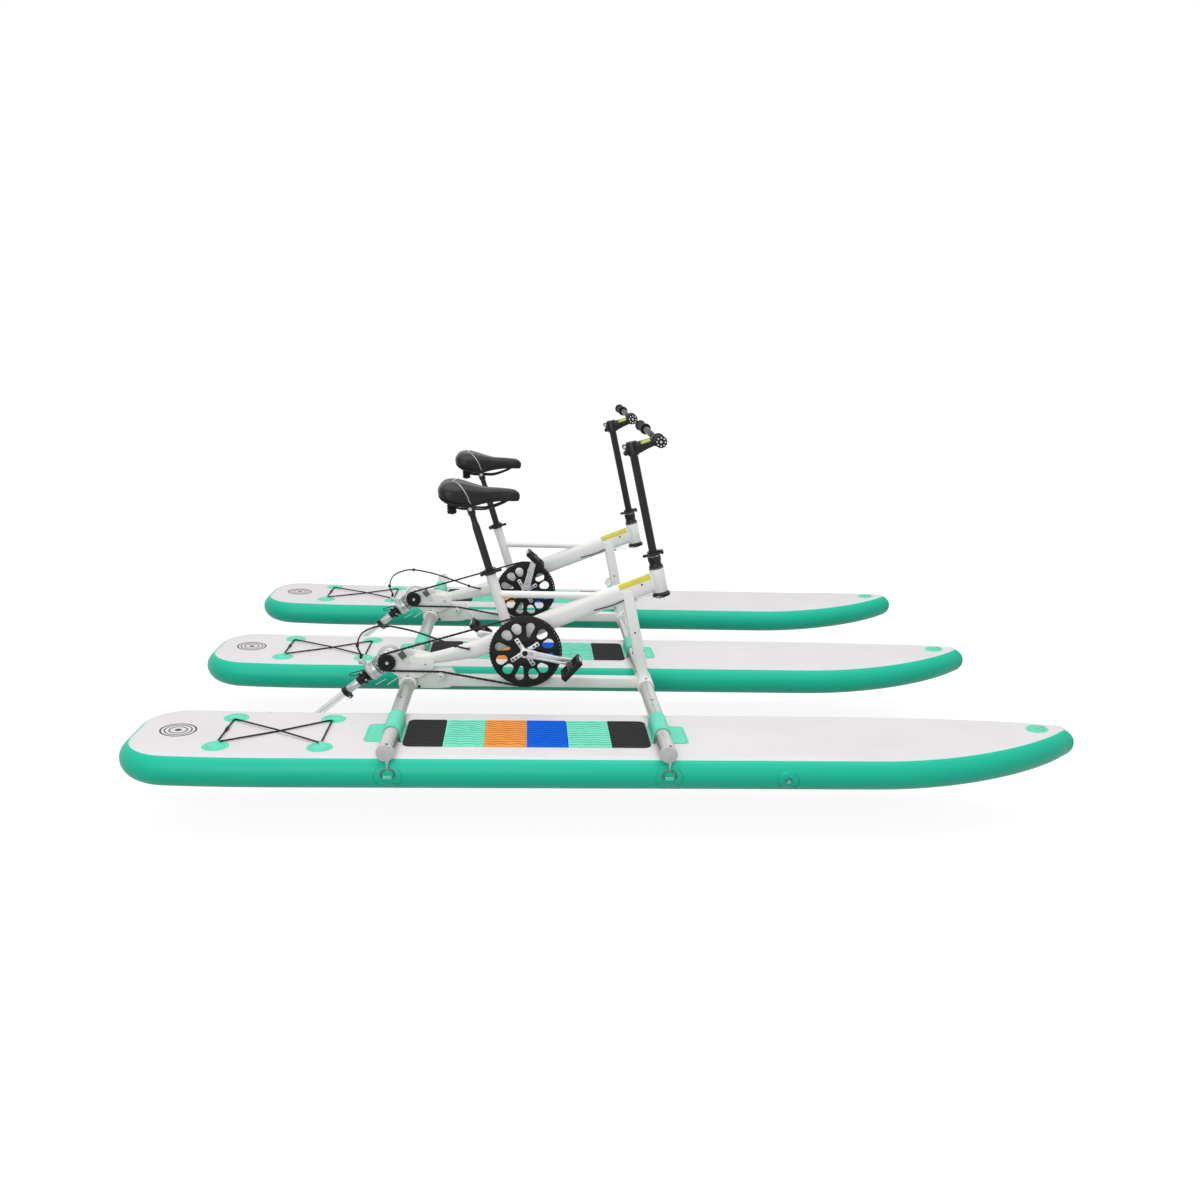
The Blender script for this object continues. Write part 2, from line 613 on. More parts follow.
def strap(y, tube_x, outward):
    """The webbing over a cross tube: a rounded flap outside, the band over the tube, and a short foot."""
    radius = TUBE_RADIUS + 2 * GAP + STRAP_THICKNESS / 2
    base = FLOAT_THICKNESS + GAP + STRAP_THICKNESS / 2
    route = [(radius + x, base + z) for x, z in
             mm((60.5, 0), (52, 0), (40, 0), (20, 0), (6, 0), (1.6, 1.4), (0, 6))]
    route += list(arc((0, TUBE_Z), radius, 0, 180, 20))[1:]
    route += [(-radius - x, base + z) for x, z in mm((0, 6), (1.6, 1.4), (6, 0))]
    lengths = [0.0]
    for a, b in zip(route, route[1:]):
        lengths.append(lengths[-1] + math.dist(a, b))
    corner = 0.02
    bm = bmesh.new()
    fine = [corner * (1 - math.cos(math.pi / 2 * i / 6)) for i in range(7)]
    marks = sorted({round(s, 6) for s in fine + [length for length in lengths if length > corner]})
    bmesh.ops.create_grid(bm, x_segments=len(marks) - 1, y_segments=12, size=0.5, calc_uvs=True)
    uv = bm.loops.layers.uv.verify()
    places = {}
    for vert in bm.verts:
        run = marks[round((vert.co.x + 0.5) * (len(marks) - 1))]
        share = vert.co.y * 2
        room = STRAP_HALF_WIDTH
        if run < corner:
            room += -corner + math.sqrt(max(0.0, corner ** 2 - (corner - run) ** 2))
        across = share * room
        i = max(k for k, length in enumerate(lengths) if length <= run + 1e-9)
        if i == len(route) - 1:
            spot = route[-1]
        else:
            t = (run - lengths[i]) / (lengths[i + 1] - lengths[i])
            spot = [a + (b - a) * t for a, b in zip(route[i], route[i + 1])]
        places[vert] = (run, min(room - abs(across), run))
        vert.co = (tube_x + outward * spot[0], y + across, spot[1])
    for face in bm.faces:
        for loop in face.loops:
            loop[uv].uv = places[loop.vert]
    bmesh.ops.recalc_face_normals(bm, faces=bm.faces)
    if sum(face.normal.z * face.calc_area() for face in bm.faces) < 0:
        bmesh.ops.reverse_faces(bm, faces=bm.faces)
    return bm


def thickened(obj, thickness, offset=0.0, edge=0.0):
    """Gives a sheet its thickness, and rounds its edges."""
    wall = obj.modifiers.new("thickness", "SOLIDIFY")
    wall.thickness = thickness
    wall.offset = offset
    if edge:
        rounding = obj.modifiers.new("edge", "BEVEL")
        rounding.width = edge
        rounding.segments = 2
        rounding.limit_method = "ANGLE"
        rounding.angle_limit = math.radians(50)
    return obj


def cord_route(y):
    """The elastic cord's closed route over the four patches, the same as in the CAD source."""
    corners = [Vector((x, hand * CORD_ACROSS)) for x in (CORD_REAR, CORD_FRONT) for hand in (-1, 1)]
    points = []
    for i, corner in enumerate(corners):
        before = (corners[i - 1] - corner).normalized()
        after = (corners[(i + 1) % 4] - corner).normalized()
        for share in (1.0, 0.5, 0.0, -0.5, -1.0):
            leg = before if share > 0 else after
            bend = (before + after) * (0.003 * (1 - abs(share)))
            spot = corner + leg * (0.01 * abs(share)) + bend
            points.append((spot.x, spot.y + y, FLOAT_THICKNESS + CORD_HEIGHT + GAP + rise(spot.x)))
        if i % 2:
            crossing = (corner + corners[(i + 1) % 4]) / 2
            lift = 0.0042 if i == 1 else -0.0018
            line = (corners[(i + 1) % 4] - corner).normalized()
            for share in (-0.03, 0.0, 0.03):
                spot = crossing + line * share
                hump = lift if share == 0.0 else lift * 0.8
                points.append((spot.x, spot.y + y, FLOAT_THICKNESS + CORD_HEIGHT + rise(spot.x) + hump))
    return points


def add_float(side, y):
    name = f"{side}_float"
    piece(f"{name}_hull_skin", ROOT, "hull", hull(y), stands_for=[name], crease=50)
    # Plain rings printed near the tail
    rings = [flat_ring(TAIL_PRINT_X, 0, inner, outer) for inner, outer in
             mm((50, 55.5), (38.5, 42.5), (24.5, 28.5), (0, 10))]
    piece(f"{name}_tail_print", ROOT, "ink", *[on_deck(r, y, 0.0003) for r in rings])
    # Four welded cord patches with the loop that holds the cord, and the nose patch
    discs = []
    loops = []
    lines = [on_deck(flat_ring(NOSE_PATCH_X, 0, 0.023, 0.0258), y, 0.0014)]
    edge = mm((0, 2.6), (22.5, 2.6), (24, 2.3), (26.2, 0.8), (28.4, 2), (38.5, 1.4), (40.2, 0), (40.2, -2),
              (0, -2))
    for x in (CORD_FRONT, CORD_REAR):
        for hand in (-1, 1):
            discs.append(on_deck(turned(edge, at(x, hand * CORD_PATCH_ACROSS, 0), 48), y))
            lines.append(on_deck(flat_ring(x, hand * CORD_PATCH_ACROSS, 0.0246, 0.0276), y, 0.0013))
            inward = Vector((0.45 if x < -1 else -0.45, -hand, 0)).normalized()
            band = [*mm((-24, 0.4), (-10, 2.8), (0, 6.2)), *arc((0.0009, 0.0053), 0.0036, 80, -60, 8),
                    *mm((-4, 2.2), (-20, -0.2))]
            facing = Matrix.Rotation(math.atan2(inward.y, inward.x), 4, "Z")
            corner = at(x, hand * CORD_ACROSS, 0) @ facing @ spin(90, "X")
            loops.append(on_deck(flat([band], 0.012, corner, 0.0002), y))
    nose = mm((0, 2.4), (22.5, 2.4), (24.5, 0.8), (26.2, 1.9), (34.5, 1.4), (36, 0), (36, -2), (0, -2))
    discs.append(on_deck(turned(nose, at(NOSE_PATCH_X, 0, 0), 48), y, 0.0002))
    piece(f"{name}_patches", ROOT, "patch", *discs)
    piece(f"{name}_patch_lines", ROOT, "rail_patch", *lines)
    piece(f"{name}_cord_loops", ROOT, "patch", *loops)
    slope = math.atan2(rise(NOSE_PATCH_X + 0.01) - rise(NOSE_PATCH_X - 0.01), 0.02)
    height = FLOAT_THICKNESS + rise(NOSE_PATCH_X) + 0.0045
    ring = at(NOSE_PATCH_X + 0.005, y, height) @ Matrix.Rotation(-slope, 4, "Y")
    tab = ring @ at(-0.003, 0, -0.0005)
    piece(f"{name}_nose_ring", ROOT, "stainless", d_ring(ring @ spin(-90), 0.026, 0.0016))
    piece(f"{name}_nose_tab", ROOT, "patch", block((0.02, 0.018, 0.0035), tab, 0.0014, 3))
    piece(f"{name}_foam_mat", ROOT, "foam", foam_mat(y), stands_for=[f"{name}_deck_pad"],
                    crease=60)
    for end, outward in (("front", 1), ("rear", -1)):
        band = piece(f"{name}_{end}_webbing", ROOT, "webbing", strap(y, TUBE_X[end], outward),
                     stands_for=[f"{name}_{end}_strap"])
        thickened(band, STRAP_THICKNESS, 0.0, 0.0008)
    piece(f"{name}_cord", ROOT, "bungee", pipe(cord_route(y), CORD_RADIUS, cyclic=True, sides=3),
          stands_for=[f"{name}_bungee"])
    # The two ends of the cord meet in a small toggle on its rear run
    toggle = mm((0, 19), (3, 18.5), (4.2, 15), (5.2, 6), (4.2, 0), (5.2, -6), (4.2, -15), (3, -18.5),
                (0, -19))
    spot = Vector((CORD_REAR, y + 0.012, FLOAT_THICKNESS + CORD_HEIGHT + GAP + rise(CORD_REAR)))
    piece(f"{name}_cord_toggle", ROOT, "nylon", turned(toggle, along(spot, SIDE), 20))


def ramp(value, low, high):
    """0 below low, 1 above high, and a smooth step between."""
    share = min(1.0, max(0.0, (value - low) / (high - low)))
    return share * share * (3 - 2 * share)


def foam_mat(y):
    """The mat: round corners and edges, slits between its lengths, and wavy grooves that run fore and aft."""
    length = MAT_FRONT - MAT_REAR
    rounds = [MAT_CORNER * (1 - math.cos(math.pi / 2 * i / 12)) for i in range(13)]
    slits = [x - MAT_REAR + step for x in MAT_JOINS for step in (-0.0016, -0.0005, 0.0005, 0.0016)]
    plain = [i * 0.0055 for i in range(math.ceil(length / 0.0055))]
    plain = [x for x in plain if MAT_CORNER < x < length - MAT_CORNER]
    plain = [x for x in plain if min(abs(x - slit) for slit in slits) > 0.002]
    runs = sorted(rounds + plain + slits + [length - x for x in rounds])
    rims = [0.0, 0.0004, 0.0012, 0.0024]
    inner = [0.004 + (MAT_HALF_WIDTH * 2 - 0.008) * i / 120 for i in range(121)]
    across = [x / MAT_HALF_WIDTH - 1 for x in rims + inner + [MAT_HALF_WIDTH * 2 - x for x in rims[::-1]]]
    bm = bmesh.new()
    bmesh.ops.create_grid(bm, x_segments=len(runs) - 1, y_segments=len(across) - 1, size=0.5)
    groove = bm.verts.layers.float.new("groove")
    top = FLOAT_THICKNESS + GAP + MAT_THICKNESS
    for vert in bm.verts:
        run = runs[round((vert.co.x + 0.5) * (len(runs) - 1))]
        end = min(run, length - run)
        room = MAT_HALF_WIDTH
        if end < MAT_CORNER:
            room += math.sqrt(max(0.0, MAT_CORNER ** 2 - (MAT_CORNER - end) ** 2)) - MAT_CORNER
        place = across[round((vert.co.y + 0.5) * (len(across) - 1))] * room
        x = MAT_REAR + run
        rim = min(end, room - abs(place))
        sway = 0.0034 * math.sin(2 * math.pi * x / GROOVE_WAVE)
        wave = math.cos(2 * math.pi * (place + sway) / GROOVE_SPACING)
        near = min(abs(x - join) for join in MAT_JOINS)
        vert[groove] = ramp(wave, 0.15, 0.95) * ramp(rim, 0.002, 0.007) * ramp(near, 0.0012, 0.0045)
        edge = 1 - min(1.0, rim / 0.0012)
        slit = 1 - ramp(near, 0.0004, 0.0014)
        vert.co = (x, y + place, top - 0.0012 * (1 - math.sqrt(1 - edge * edge)) - 0.0019 * vert[groove]
                   - 0.0042 * slit)
    rim_edges = [edge for edge in bm.edges if edge.is_boundary]
    wall = bmesh.ops.extrude_edge_only(bm, edges=rim_edges)["geom"]
    for vert in wall:
        if isinstance(vert, bmesh.types.BMVert):
            vert.co.z = FLOAT_THICKNESS + GAP
    bmesh.ops.holes_fill(bm, edges=[edge for edge in bm.edges if edge.is_boundary], sides=0)
    return cleaned(bm, Matrix())


for hand, offset in (("right", -1), ("centre", 0), ("left", 1)):
    add_float(hand, offset * FLOAT_SPACING)


# ---- Cross tubes ----

def side_patch(x, y, z, hand, radius):
    """A round patch on a float's half-round side: its place, facing outwards."""
    middle = FLOAT_THICKNESS / 2
    angle = math.asin((z - middle) / middle)
    out = Vector((0, hand * math.cos(angle), math.sin(angle)))
    centre = Vector((x, y + hand * (FLOAT_WIDTH / 2 - middle), middle))
    bm = bmesh.new()
    bmesh.ops.create_circle(bm, cap_ends=True, radius=radius, segments=48)
    face = bm.faces[:]
    bmesh.ops.inset_region(bm, faces=face, thickness=radius * 0.35)
    bmesh.ops.inset_region(bm, faces=[f for f in bm.faces if len(f.verts) > 4], thickness=radius * 0.3)
    for vert in bm.verts:
        turn = angle + vert.co.y / middle
        vert.co = centre + Vector((vert.co.x, hand * math.cos(turn) * (middle + 0.0012),
                                   math.sin(turn) * (middle + 0.0012)))
    bmesh.ops.recalc_face_normals(bm, faces=bm.faces)
    if bm.faces[0].normal.dot(out) < 0:
        bmesh.ops.reverse_faces(bm, faces=bm.faces)
    return bm, centre + out * middle, out


def add_side_ring(name, x, y, z, hand, width, wire):
    """A rail patch with a webbing tab and a D-ring standing on its flat bar; returns the top of its bow."""
    disc, spot, out = side_patch(x, y, z, hand, 0.042 if width > 0.03 else 0.034)
    thickened(piece(f"{name}_patch", ROOT, "rail_patch", disc), 0.0012, -1.0)
    ahead = Vector((1, 0, 0))
    up = ahead.cross(out) * hand
    lean = Matrix((ahead, up, ahead.cross(up))).transposed().to_4x4()
    place = Matrix.Translation(spot + out * (wire + 0.0012)) @ lean
    piece(f"{name}_tab", ROOT, "patch", block((width * 0.66, 0.011, wire * 2 + 0.0014), place, 0.0016, 3))
    piece(f"{name}_ring", ROOT, "dark_steel", d_ring(place, width, wire))
    return place @ Vector((0, width * 0.65, 0))


for end, x in TUBE_X.items():
    tube = sleeve((x, -1.139, TUBE_Z), (x, 1.139, TUBE_Z), 0.0225, TUBE_RADIUS, 0.0005, 48)
    piece(f"{end}_cross_tube_body", ROOT, "tube", tube, stands_for=[f"{end}_cross_tube"])
    caps = []
    buttons = []
    wells = []
    for hand in (-1, 1):
        profile = mm((0, 0), (24.5, 0), (26.2, -0.7), (27.2, -2.5), (27.2, -10.5), (26.2, -12), (22.2, -12),
                     (22.2, -30), (0, -30))
        caps.append(turned(profile, along((x, hand * TUBE_HALF_LENGTH, TUBE_Z), (0, hand, 0)), 48))
        for inset, lean, radius in ((0.006, 100, 0.0272), (0.43, 88, TUBE_RADIUS)):
            tilt = math.radians(lean)
            out = Vector((-math.cos(tilt), 0, math.sin(tilt)))
            spot = Vector((x, hand * (TUBE_HALF_LENGTH - inset), TUBE_Z)) + out * (radius - 0.0006)
            wells.append(turned(mm((0, 1.2), (4.2, 1.2), (4.8, 0), (0, 0)), along(spot, out), 24))
            dome = mm((0, 2.2), (1, 2), (2, 1.2), (2, 0), (0, 0))
            buttons.append(turned(dome, along(spot, out), 20))
    piece(f"{end}_tube_caps", ROOT, "cap", *caps)
    piece(f"{end}_tube_holes", ROOT, "nylon", *wells)
    piece(f"{end}_tube_buttons", ROOT, "dark_steel", *buttons)
    for hand, word in ((-1, "right"), (1, "left")):
        top = add_side_ring(f"{word}_{end}_tie", x + 0.006, hand * FLOAT_SPACING, 0.053, hand, 0.041, 0.0024)
        eye = Vector((top.x, hand * 1.144, TUBE_Z - 0.03))
        run = (top - eye).normalized()
        side = Vector((1, 0, 0)).cross(run)
        half = (top - eye).length / 2
        link = [(0.0036 * math.cos(a), half + 0.0036 * math.sin(a))
                for a in [math.pi * i / 8 for i in range(9)]]
        link += [(-t, -s) for t, s in link]
        piece(f"{word}_{end}_tie_link", ROOT, "stainless",
              pipe([(eye + top) / 2 + side * t + run * s for t, s in link], 0.0013, cyclic=True, sides=3),
              rod(eye + UP * 0.005, eye - UP * 0.001, 0.0034),
              pipe([eye + Vector((0.0045 * math.cos(a), 0, 0.0045 * math.sin(a) - 0.001))
                    for a in spread(16)], 0.0013, cyclic=True))
for hand, word in ((-1, "right"), (1, "left")):
    add_side_ring(f"{word}_side_tie", 0.52, hand * FLOAT_SPACING, 0.043, hand, 0.02, 0.0016)


# ---- Pedal frames ----

HEAD_BOTTOM = Vector((0.19, 0.0, 0.47))
HEAD_AXIS = Vector((-math.sin(math.radians(13.7)), 0.0, math.cos(math.radians(13.7))))
HEAD_LENGTH = 0.0927
SEAT_FOOT = Vector((-0.348, 0.0, 0.315))
SEAT_AXIS = Vector((-math.sin(math.radians(17.5)), 0.0, math.cos(math.radians(17.5))))
SEAT_LENGTH = 0.236
CRANK = Vector((-0.29, 0.0, 0.2575))
# Where each bike's right crank arm points, and the tilts of its right and left pedals
CRANK_ANGLE = {"right_bike": math.radians(-11.0), "left_bike": math.radians(76.0)}
PEDAL_TILTS = {"right_bike": (48, -35), "left_bike": (-42, 20)}
CRANK_LENGTH = 0.165
CHAIN_Y = -0.0545
RING_TEETH, SPROCKET_TEETH = 62, 14
PITCH = 0.0127
TILT = Vector((-0.771, 0.0, 0.212))
LEG_AXIS = Vector((math.cos(math.radians(40)), 0.0, math.sin(math.radians(40))))
FOOT = TILT - LEG_AXIS * 0.462
GUIDE = Vector((-0.585, 0.0, 0.165))
BEAM = mm((162, 506.8, 70, 44), (-160, 378, 70, 44), (-413, 268, 66, 44), (-515, 236.5, 52, 42),
          (-610, 215, 40, 40), (-670, 203, 40, 40))
STRUT_TOP = Vector((0.066, 0.0, 0.478))
STRUT_FOOT = Vector((0.145, 0.0, TUBE_Z))
BAR_CENTRE = Vector((0.15, 0.0, 1.006))
BAR_BEND = Vector((0.132, 0.16, 1.027))
BAR_END = Vector((0.125, 0.312, 1.03))
STOP = Vector((-0.87, 0.0, 0.209))
CABLES = (STOP + UP * GAP, (-0.8705, 0.0, 0.223), (-0.882, 0.0, 0.256), (-0.866, -0.004, 0.3),
          (-0.825, -0.01, 0.325), (-0.775, -0.018, 0.334), (-0.69, -0.03, 0.322), (-0.61, -0.037, 0.298),
          (-0.535, -0.041, 0.272), (-0.497, -0.0385, 0.261), (-0.4865, -0.0285, 0.2575))
SADDLE = mm((-316.5, 794, 806, 18, 0), (-322, 787, 815, 36, 0), (-340, 786, 825, 48, 1),
            (-385, 785, 829, 58, 2), (-435, 778, 831, 84, 3), (-480, 768, 841, 142, 5),
            (-515, 768, 850, 186, 6), (-548, 774, 854, 206, 6), (-575, 788, 849, 196, 5),
            (-589, 801, 838, 160, 3), (-594.5, 812, 828, 100, 0))


def on_head(height, x=0.0, y=0.0):
    """A place in the steering axis's own frame."""
    return along(HEAD_BOTTOM, HEAD_AXIS) @ at(x, y, height)


def head_point(height):
    return HEAD_BOTTOM + HEAD_AXIS * height


def on_seat(height, x=0.0, y=0.0):
    """A place in the seat tube axis's own frame."""
    return along(SEAT_FOOT, SEAT_AXIS) @ at(x, y, height)


def on_leg(distance, x=0.0, y=0.0):
    """A place in the drive leg's frame, measured down the leg from the tilt axis."""
    return along(TILT, LEG_AXIS) @ at(x, y, -distance)


def leg_point(distance):
    return on_leg(distance) @ Vector()


def crank_pose(y, angle):
    return at(CRANK.x, y, CRANK.z) @ Matrix.Rotation(-angle, 4, "Y") @ spin(90, "X")


def pitch_radius(teeth):
    return PITCH / (2 * math.sin(math.pi / teeth))


def wheel_outline(teeth):
    """A sprocket's rim: a narrow tip and a round valley for each tooth."""
    tip = pitch_radius(teeth) - GAP + 0.0012
    for i in range(teeth):
        for share, depth in ((0.0, 0.0024), (0.18, 0.0021), (0.38, 0.0004), (0.5, 0.0), (0.62, 0.0004),
                             (0.82, 0.0021)):
            angle = 2 * math.pi * (i + share) / teeth
            yield ((tip - depth) * math.cos(angle), (tip - depth) * math.sin(angle))


def window(angle, centre_radius, half_length, inner_width, outer_width):
    """A window that widens outwards along a spoke direction, with rounded ends."""
    turn = Matrix.Rotation(angle, 2)
    points = []
    for end, width in ((1, outer_width), (-1, inner_width)):
        points += arc((centre_radius + end * (half_length - width / 2), 0), width / 2, -90 * end,
                      180 - 90 * end, 10)
    return [tuple(turn @ Vector(p)) for p in points]


def circle(radius, centre=(0.0, 0.0), steps=40):
    return list(arc(centre, radius, 0, 360 - 360 / steps, steps - 1))


def arm_outline(grow=0.0):
    """A crank arm seen from its side: a wide boss that tapers to a round pedal eye."""
    outline = list(arc((0, 0), 0.0175 + grow, 62, 298, 20))
    outline += [(0.03, -0.0148 - grow), (0.055, -0.0136 - grow), (0.11, -0.0129 - grow)]
    outline += list(arc((CRANK_LENGTH, 0), 0.0125 + grow, -88, 88, 16))
    return outline + [(0.11, 0.0129 + grow), (0.055, 0.0136 + grow), (0.03, 0.0148 + grow)]


def beam_ring(stations, i, degrees, lift=0.0):
    """Points round the beam at one of its stations, counted from its left side over its top."""
    x, z, depth, width = stations[i]
    ahead = stations[max(i - 1, 0)]
    behind = stations[min(i + 1, len(stations) - 1)]
    run = Vector((ahead[0] - behind[0], 0.0, ahead[1] - behind[1])).normalized()
    over_beam = Vector((-run.z, 0.0, run.x))
    ring = []
    for angle in degrees:
        c, s = math.cos(math.radians(angle)), math.sin(math.radians(angle))
        ring.append(Vector((x, 0, z)) + over_beam * (math.copysign(abs(s) ** 0.75, s) * (depth / 2 + lift))
                    + SIDE * (math.copysign(abs(c) ** 0.75, c) * (width / 2 + lift)))
    return ring


def weld(outline, place, direction, target):
    """A weld bead where an outline, swept along a direction, first meets the target."""
    tree = BVHTree.FromBMesh(target)
    hits = [tree.ray_cast(place @ Vector((x, y, 0)), direction)[0] for x, y in outline]
    ripple = []
    for hit, following in in_turn(hits):
        ripple += [hit, hit.lerp(following, 0.5)]
    return pipe(ripple, 0.0019, cyclic=True, sides=1)


def box_outline(width, height):
    corner = 0.006
    points = []
    for x, y, start in ((1, 1, 0), (-1, 1, 90), (-1, -1, 180), (1, -1, 270)):
        points += arc((x * (width / 2 - corner), y * (height / 2 - corner)), corner, start, start + 90, 4)
    return points


def tangent(centre_a, radius_a, centre_b, radius_b):
    """The straight chain run between two wheels; a wheel on the run's left has a negative radius."""
    across = centre_b - centre_a
    unit = across.normalized()
    lean = (radius_a - radius_b) / across.length
    normal = unit * lean + Vector((-unit.y, unit.x)) * math.sqrt(1 - lean ** 2)
    return centre_a + normal * radius_a, centre_b + normal * radius_b


def chain_places():
    """Even steps along the chain's closed route: over the sprocket, round the ring, back over the guide."""
    offset = 0.0028
    wheels = [(Vector((TILT.x, TILT.z)), pitch_radius(SPROCKET_TEETH) + offset),
              (Vector((CRANK.x, CRANK.z)), pitch_radius(RING_TEETH) + offset),
              (Vector((GUIDE.x, GUIDE.z)), -(0.0175 - offset))]
    runs = [tangent(*wheels[i], *wheels[(i + 1) % 3]) for i in range(3)]
    loop = []
    for i, (centre, radius) in enumerate(wheels):
        arrive = runs[i - 1][1] - centre
        leave = runs[i][0] - centre
        start = math.degrees(math.atan2(arrive.y, arrive.x))
        end = math.degrees(math.atan2(leave.y, leave.x))
        if radius > 0 and end > start:
            end -= 360
        if radius < 0 and end < start:
            end += 360
        loop += [Vector(p) for p in arc(centre, abs(radius), start, end, 60)]
    lengths = [0.0]
    for a, b in in_turn(loop):
        lengths.append(lengths[-1] + (b - a).length)
    count = 2 * round(lengths[-1] / PITCH / 2)
    spots = []
    i = 0
    for k in range(count):
        run = lengths[-1] * k / count
        while lengths[i + 1] < run:
            i += 1
        share = (run - lengths[i]) / (lengths[i + 1] - lengths[i])
        spots.append(loop[i].lerp(loop[(i + 1) % len(loop)], share))
    return spots


def repeated(shape, places):
    """One shape set down at many places."""
    mesh = bpy.data.meshes.new("repeated")
    shape.to_mesh(mesh)
    shape.free()
    whole = bmesh.new()
    for place in places:
        mesh.transform(place)
        whole.from_mesh(mesh)
        mesh.transform(place.inverted())
    bpy.data.meshes.remove(mesh)
    return whole


def link_plates(offset):
    """A pair of chain link plates, one on each side of the rollers."""
    half = PITCH / 2
    outline = [*arc((half, 0), 0.0034, -80, 80, 4), (0, 0.0026), *arc((-half, 0), 0.0034, 100, 260, 4),
               (0, -0.0026)]
    return joined(*[flat([outline], 0.0009, upright(CHAIN_Y + side * offset), 0.0002, 0) for side in (-1, 1)])


def saddle_spot(x, low, high, width, dip, angle):
    """A point on the saddle's skin: round above its widest line, flatter below, with a dip in the middle."""
    c, s = math.cos(angle), math.sin(angle)
    middle = low + (high - low) * 0.42
    if s > 0:
        height = middle + (high - middle) * s ** 0.8 - dip * max(0.0, 1 - abs(c) / 0.35)
    else:
        height = middle - (middle - low) * abs(s) ** 0.6
    return Vector((x, math.copysign(abs(c) ** 0.8, c) * width / 2, height))


def saddle_ring(*section):
    return [saddle_spot(*section, angle) for angle in spread(44, math.pi / 44)]


def ears(size, place):
    """The two ears of a split clamp, side by side in local Y."""
    return [block(size, place @ at(0, hand * 0.00525, 0), 0.0016, 3) for hand in (-1, 1)]


def clamp_screw(place):
    """The screw through a clamp's ears, along local Y, and its nut."""
    return (rod(place @ Vector((0, -0.014, 0)), place @ Vector((0, 0.013, 0)), 0.0026),
            nut(place @ at(0, 0.009, 0) @ spin(-90, "X"), 0.0085, 0.0045))


def handle(hub, path, place):
    """A quick-release lever: pivot boss, curved handle that flattens and widens to a rounded tip."""
    spots = smooth_line([hub + Vector((x, y, 0)) for x, y in path], 6)
    grip = pipe(spots, 0.0036, sides=3, place=place)
    tip = block((0.022, 0.0075, 0.0105), place @ Matrix.Translation(spots[-3]), 0.003, 4)
    boss = turned(drum(0.0055, -0.0062, 0.0062, 0.001), place @ Matrix.Translation(hub), 28)
    return grip, tip, boss


def blade(angle, place):
    """One propeller blade: a thin cambered skin, widest past its middle, twisted from root to tip."""
    sections = smooth_line([(0.12, 0.024, 62), (0.45, 0.044, 42), (0.75, 0.046, 30), (0.93, 0.036, 26),
                            (1.0, 0.018, 24)], 4)
    rings = []
    for share, chord, twist in sections:
        lean = math.radians(90 - twist)
        ring = []
        for k in range(16):
            turn = 2 * math.pi * k / 16
            a = math.cos(turn) * chord / 2
            b = math.sin(turn) * 0.002
            ring.append(Vector((a * math.sin(lean) - b * math.cos(lean),
                                -(a * math.cos(lean) + b * math.sin(lean)), 0.088 * share)))
        rings.append(ring)
    return skin(rings, place @ Matrix.Rotation(angle, 4, "X"))


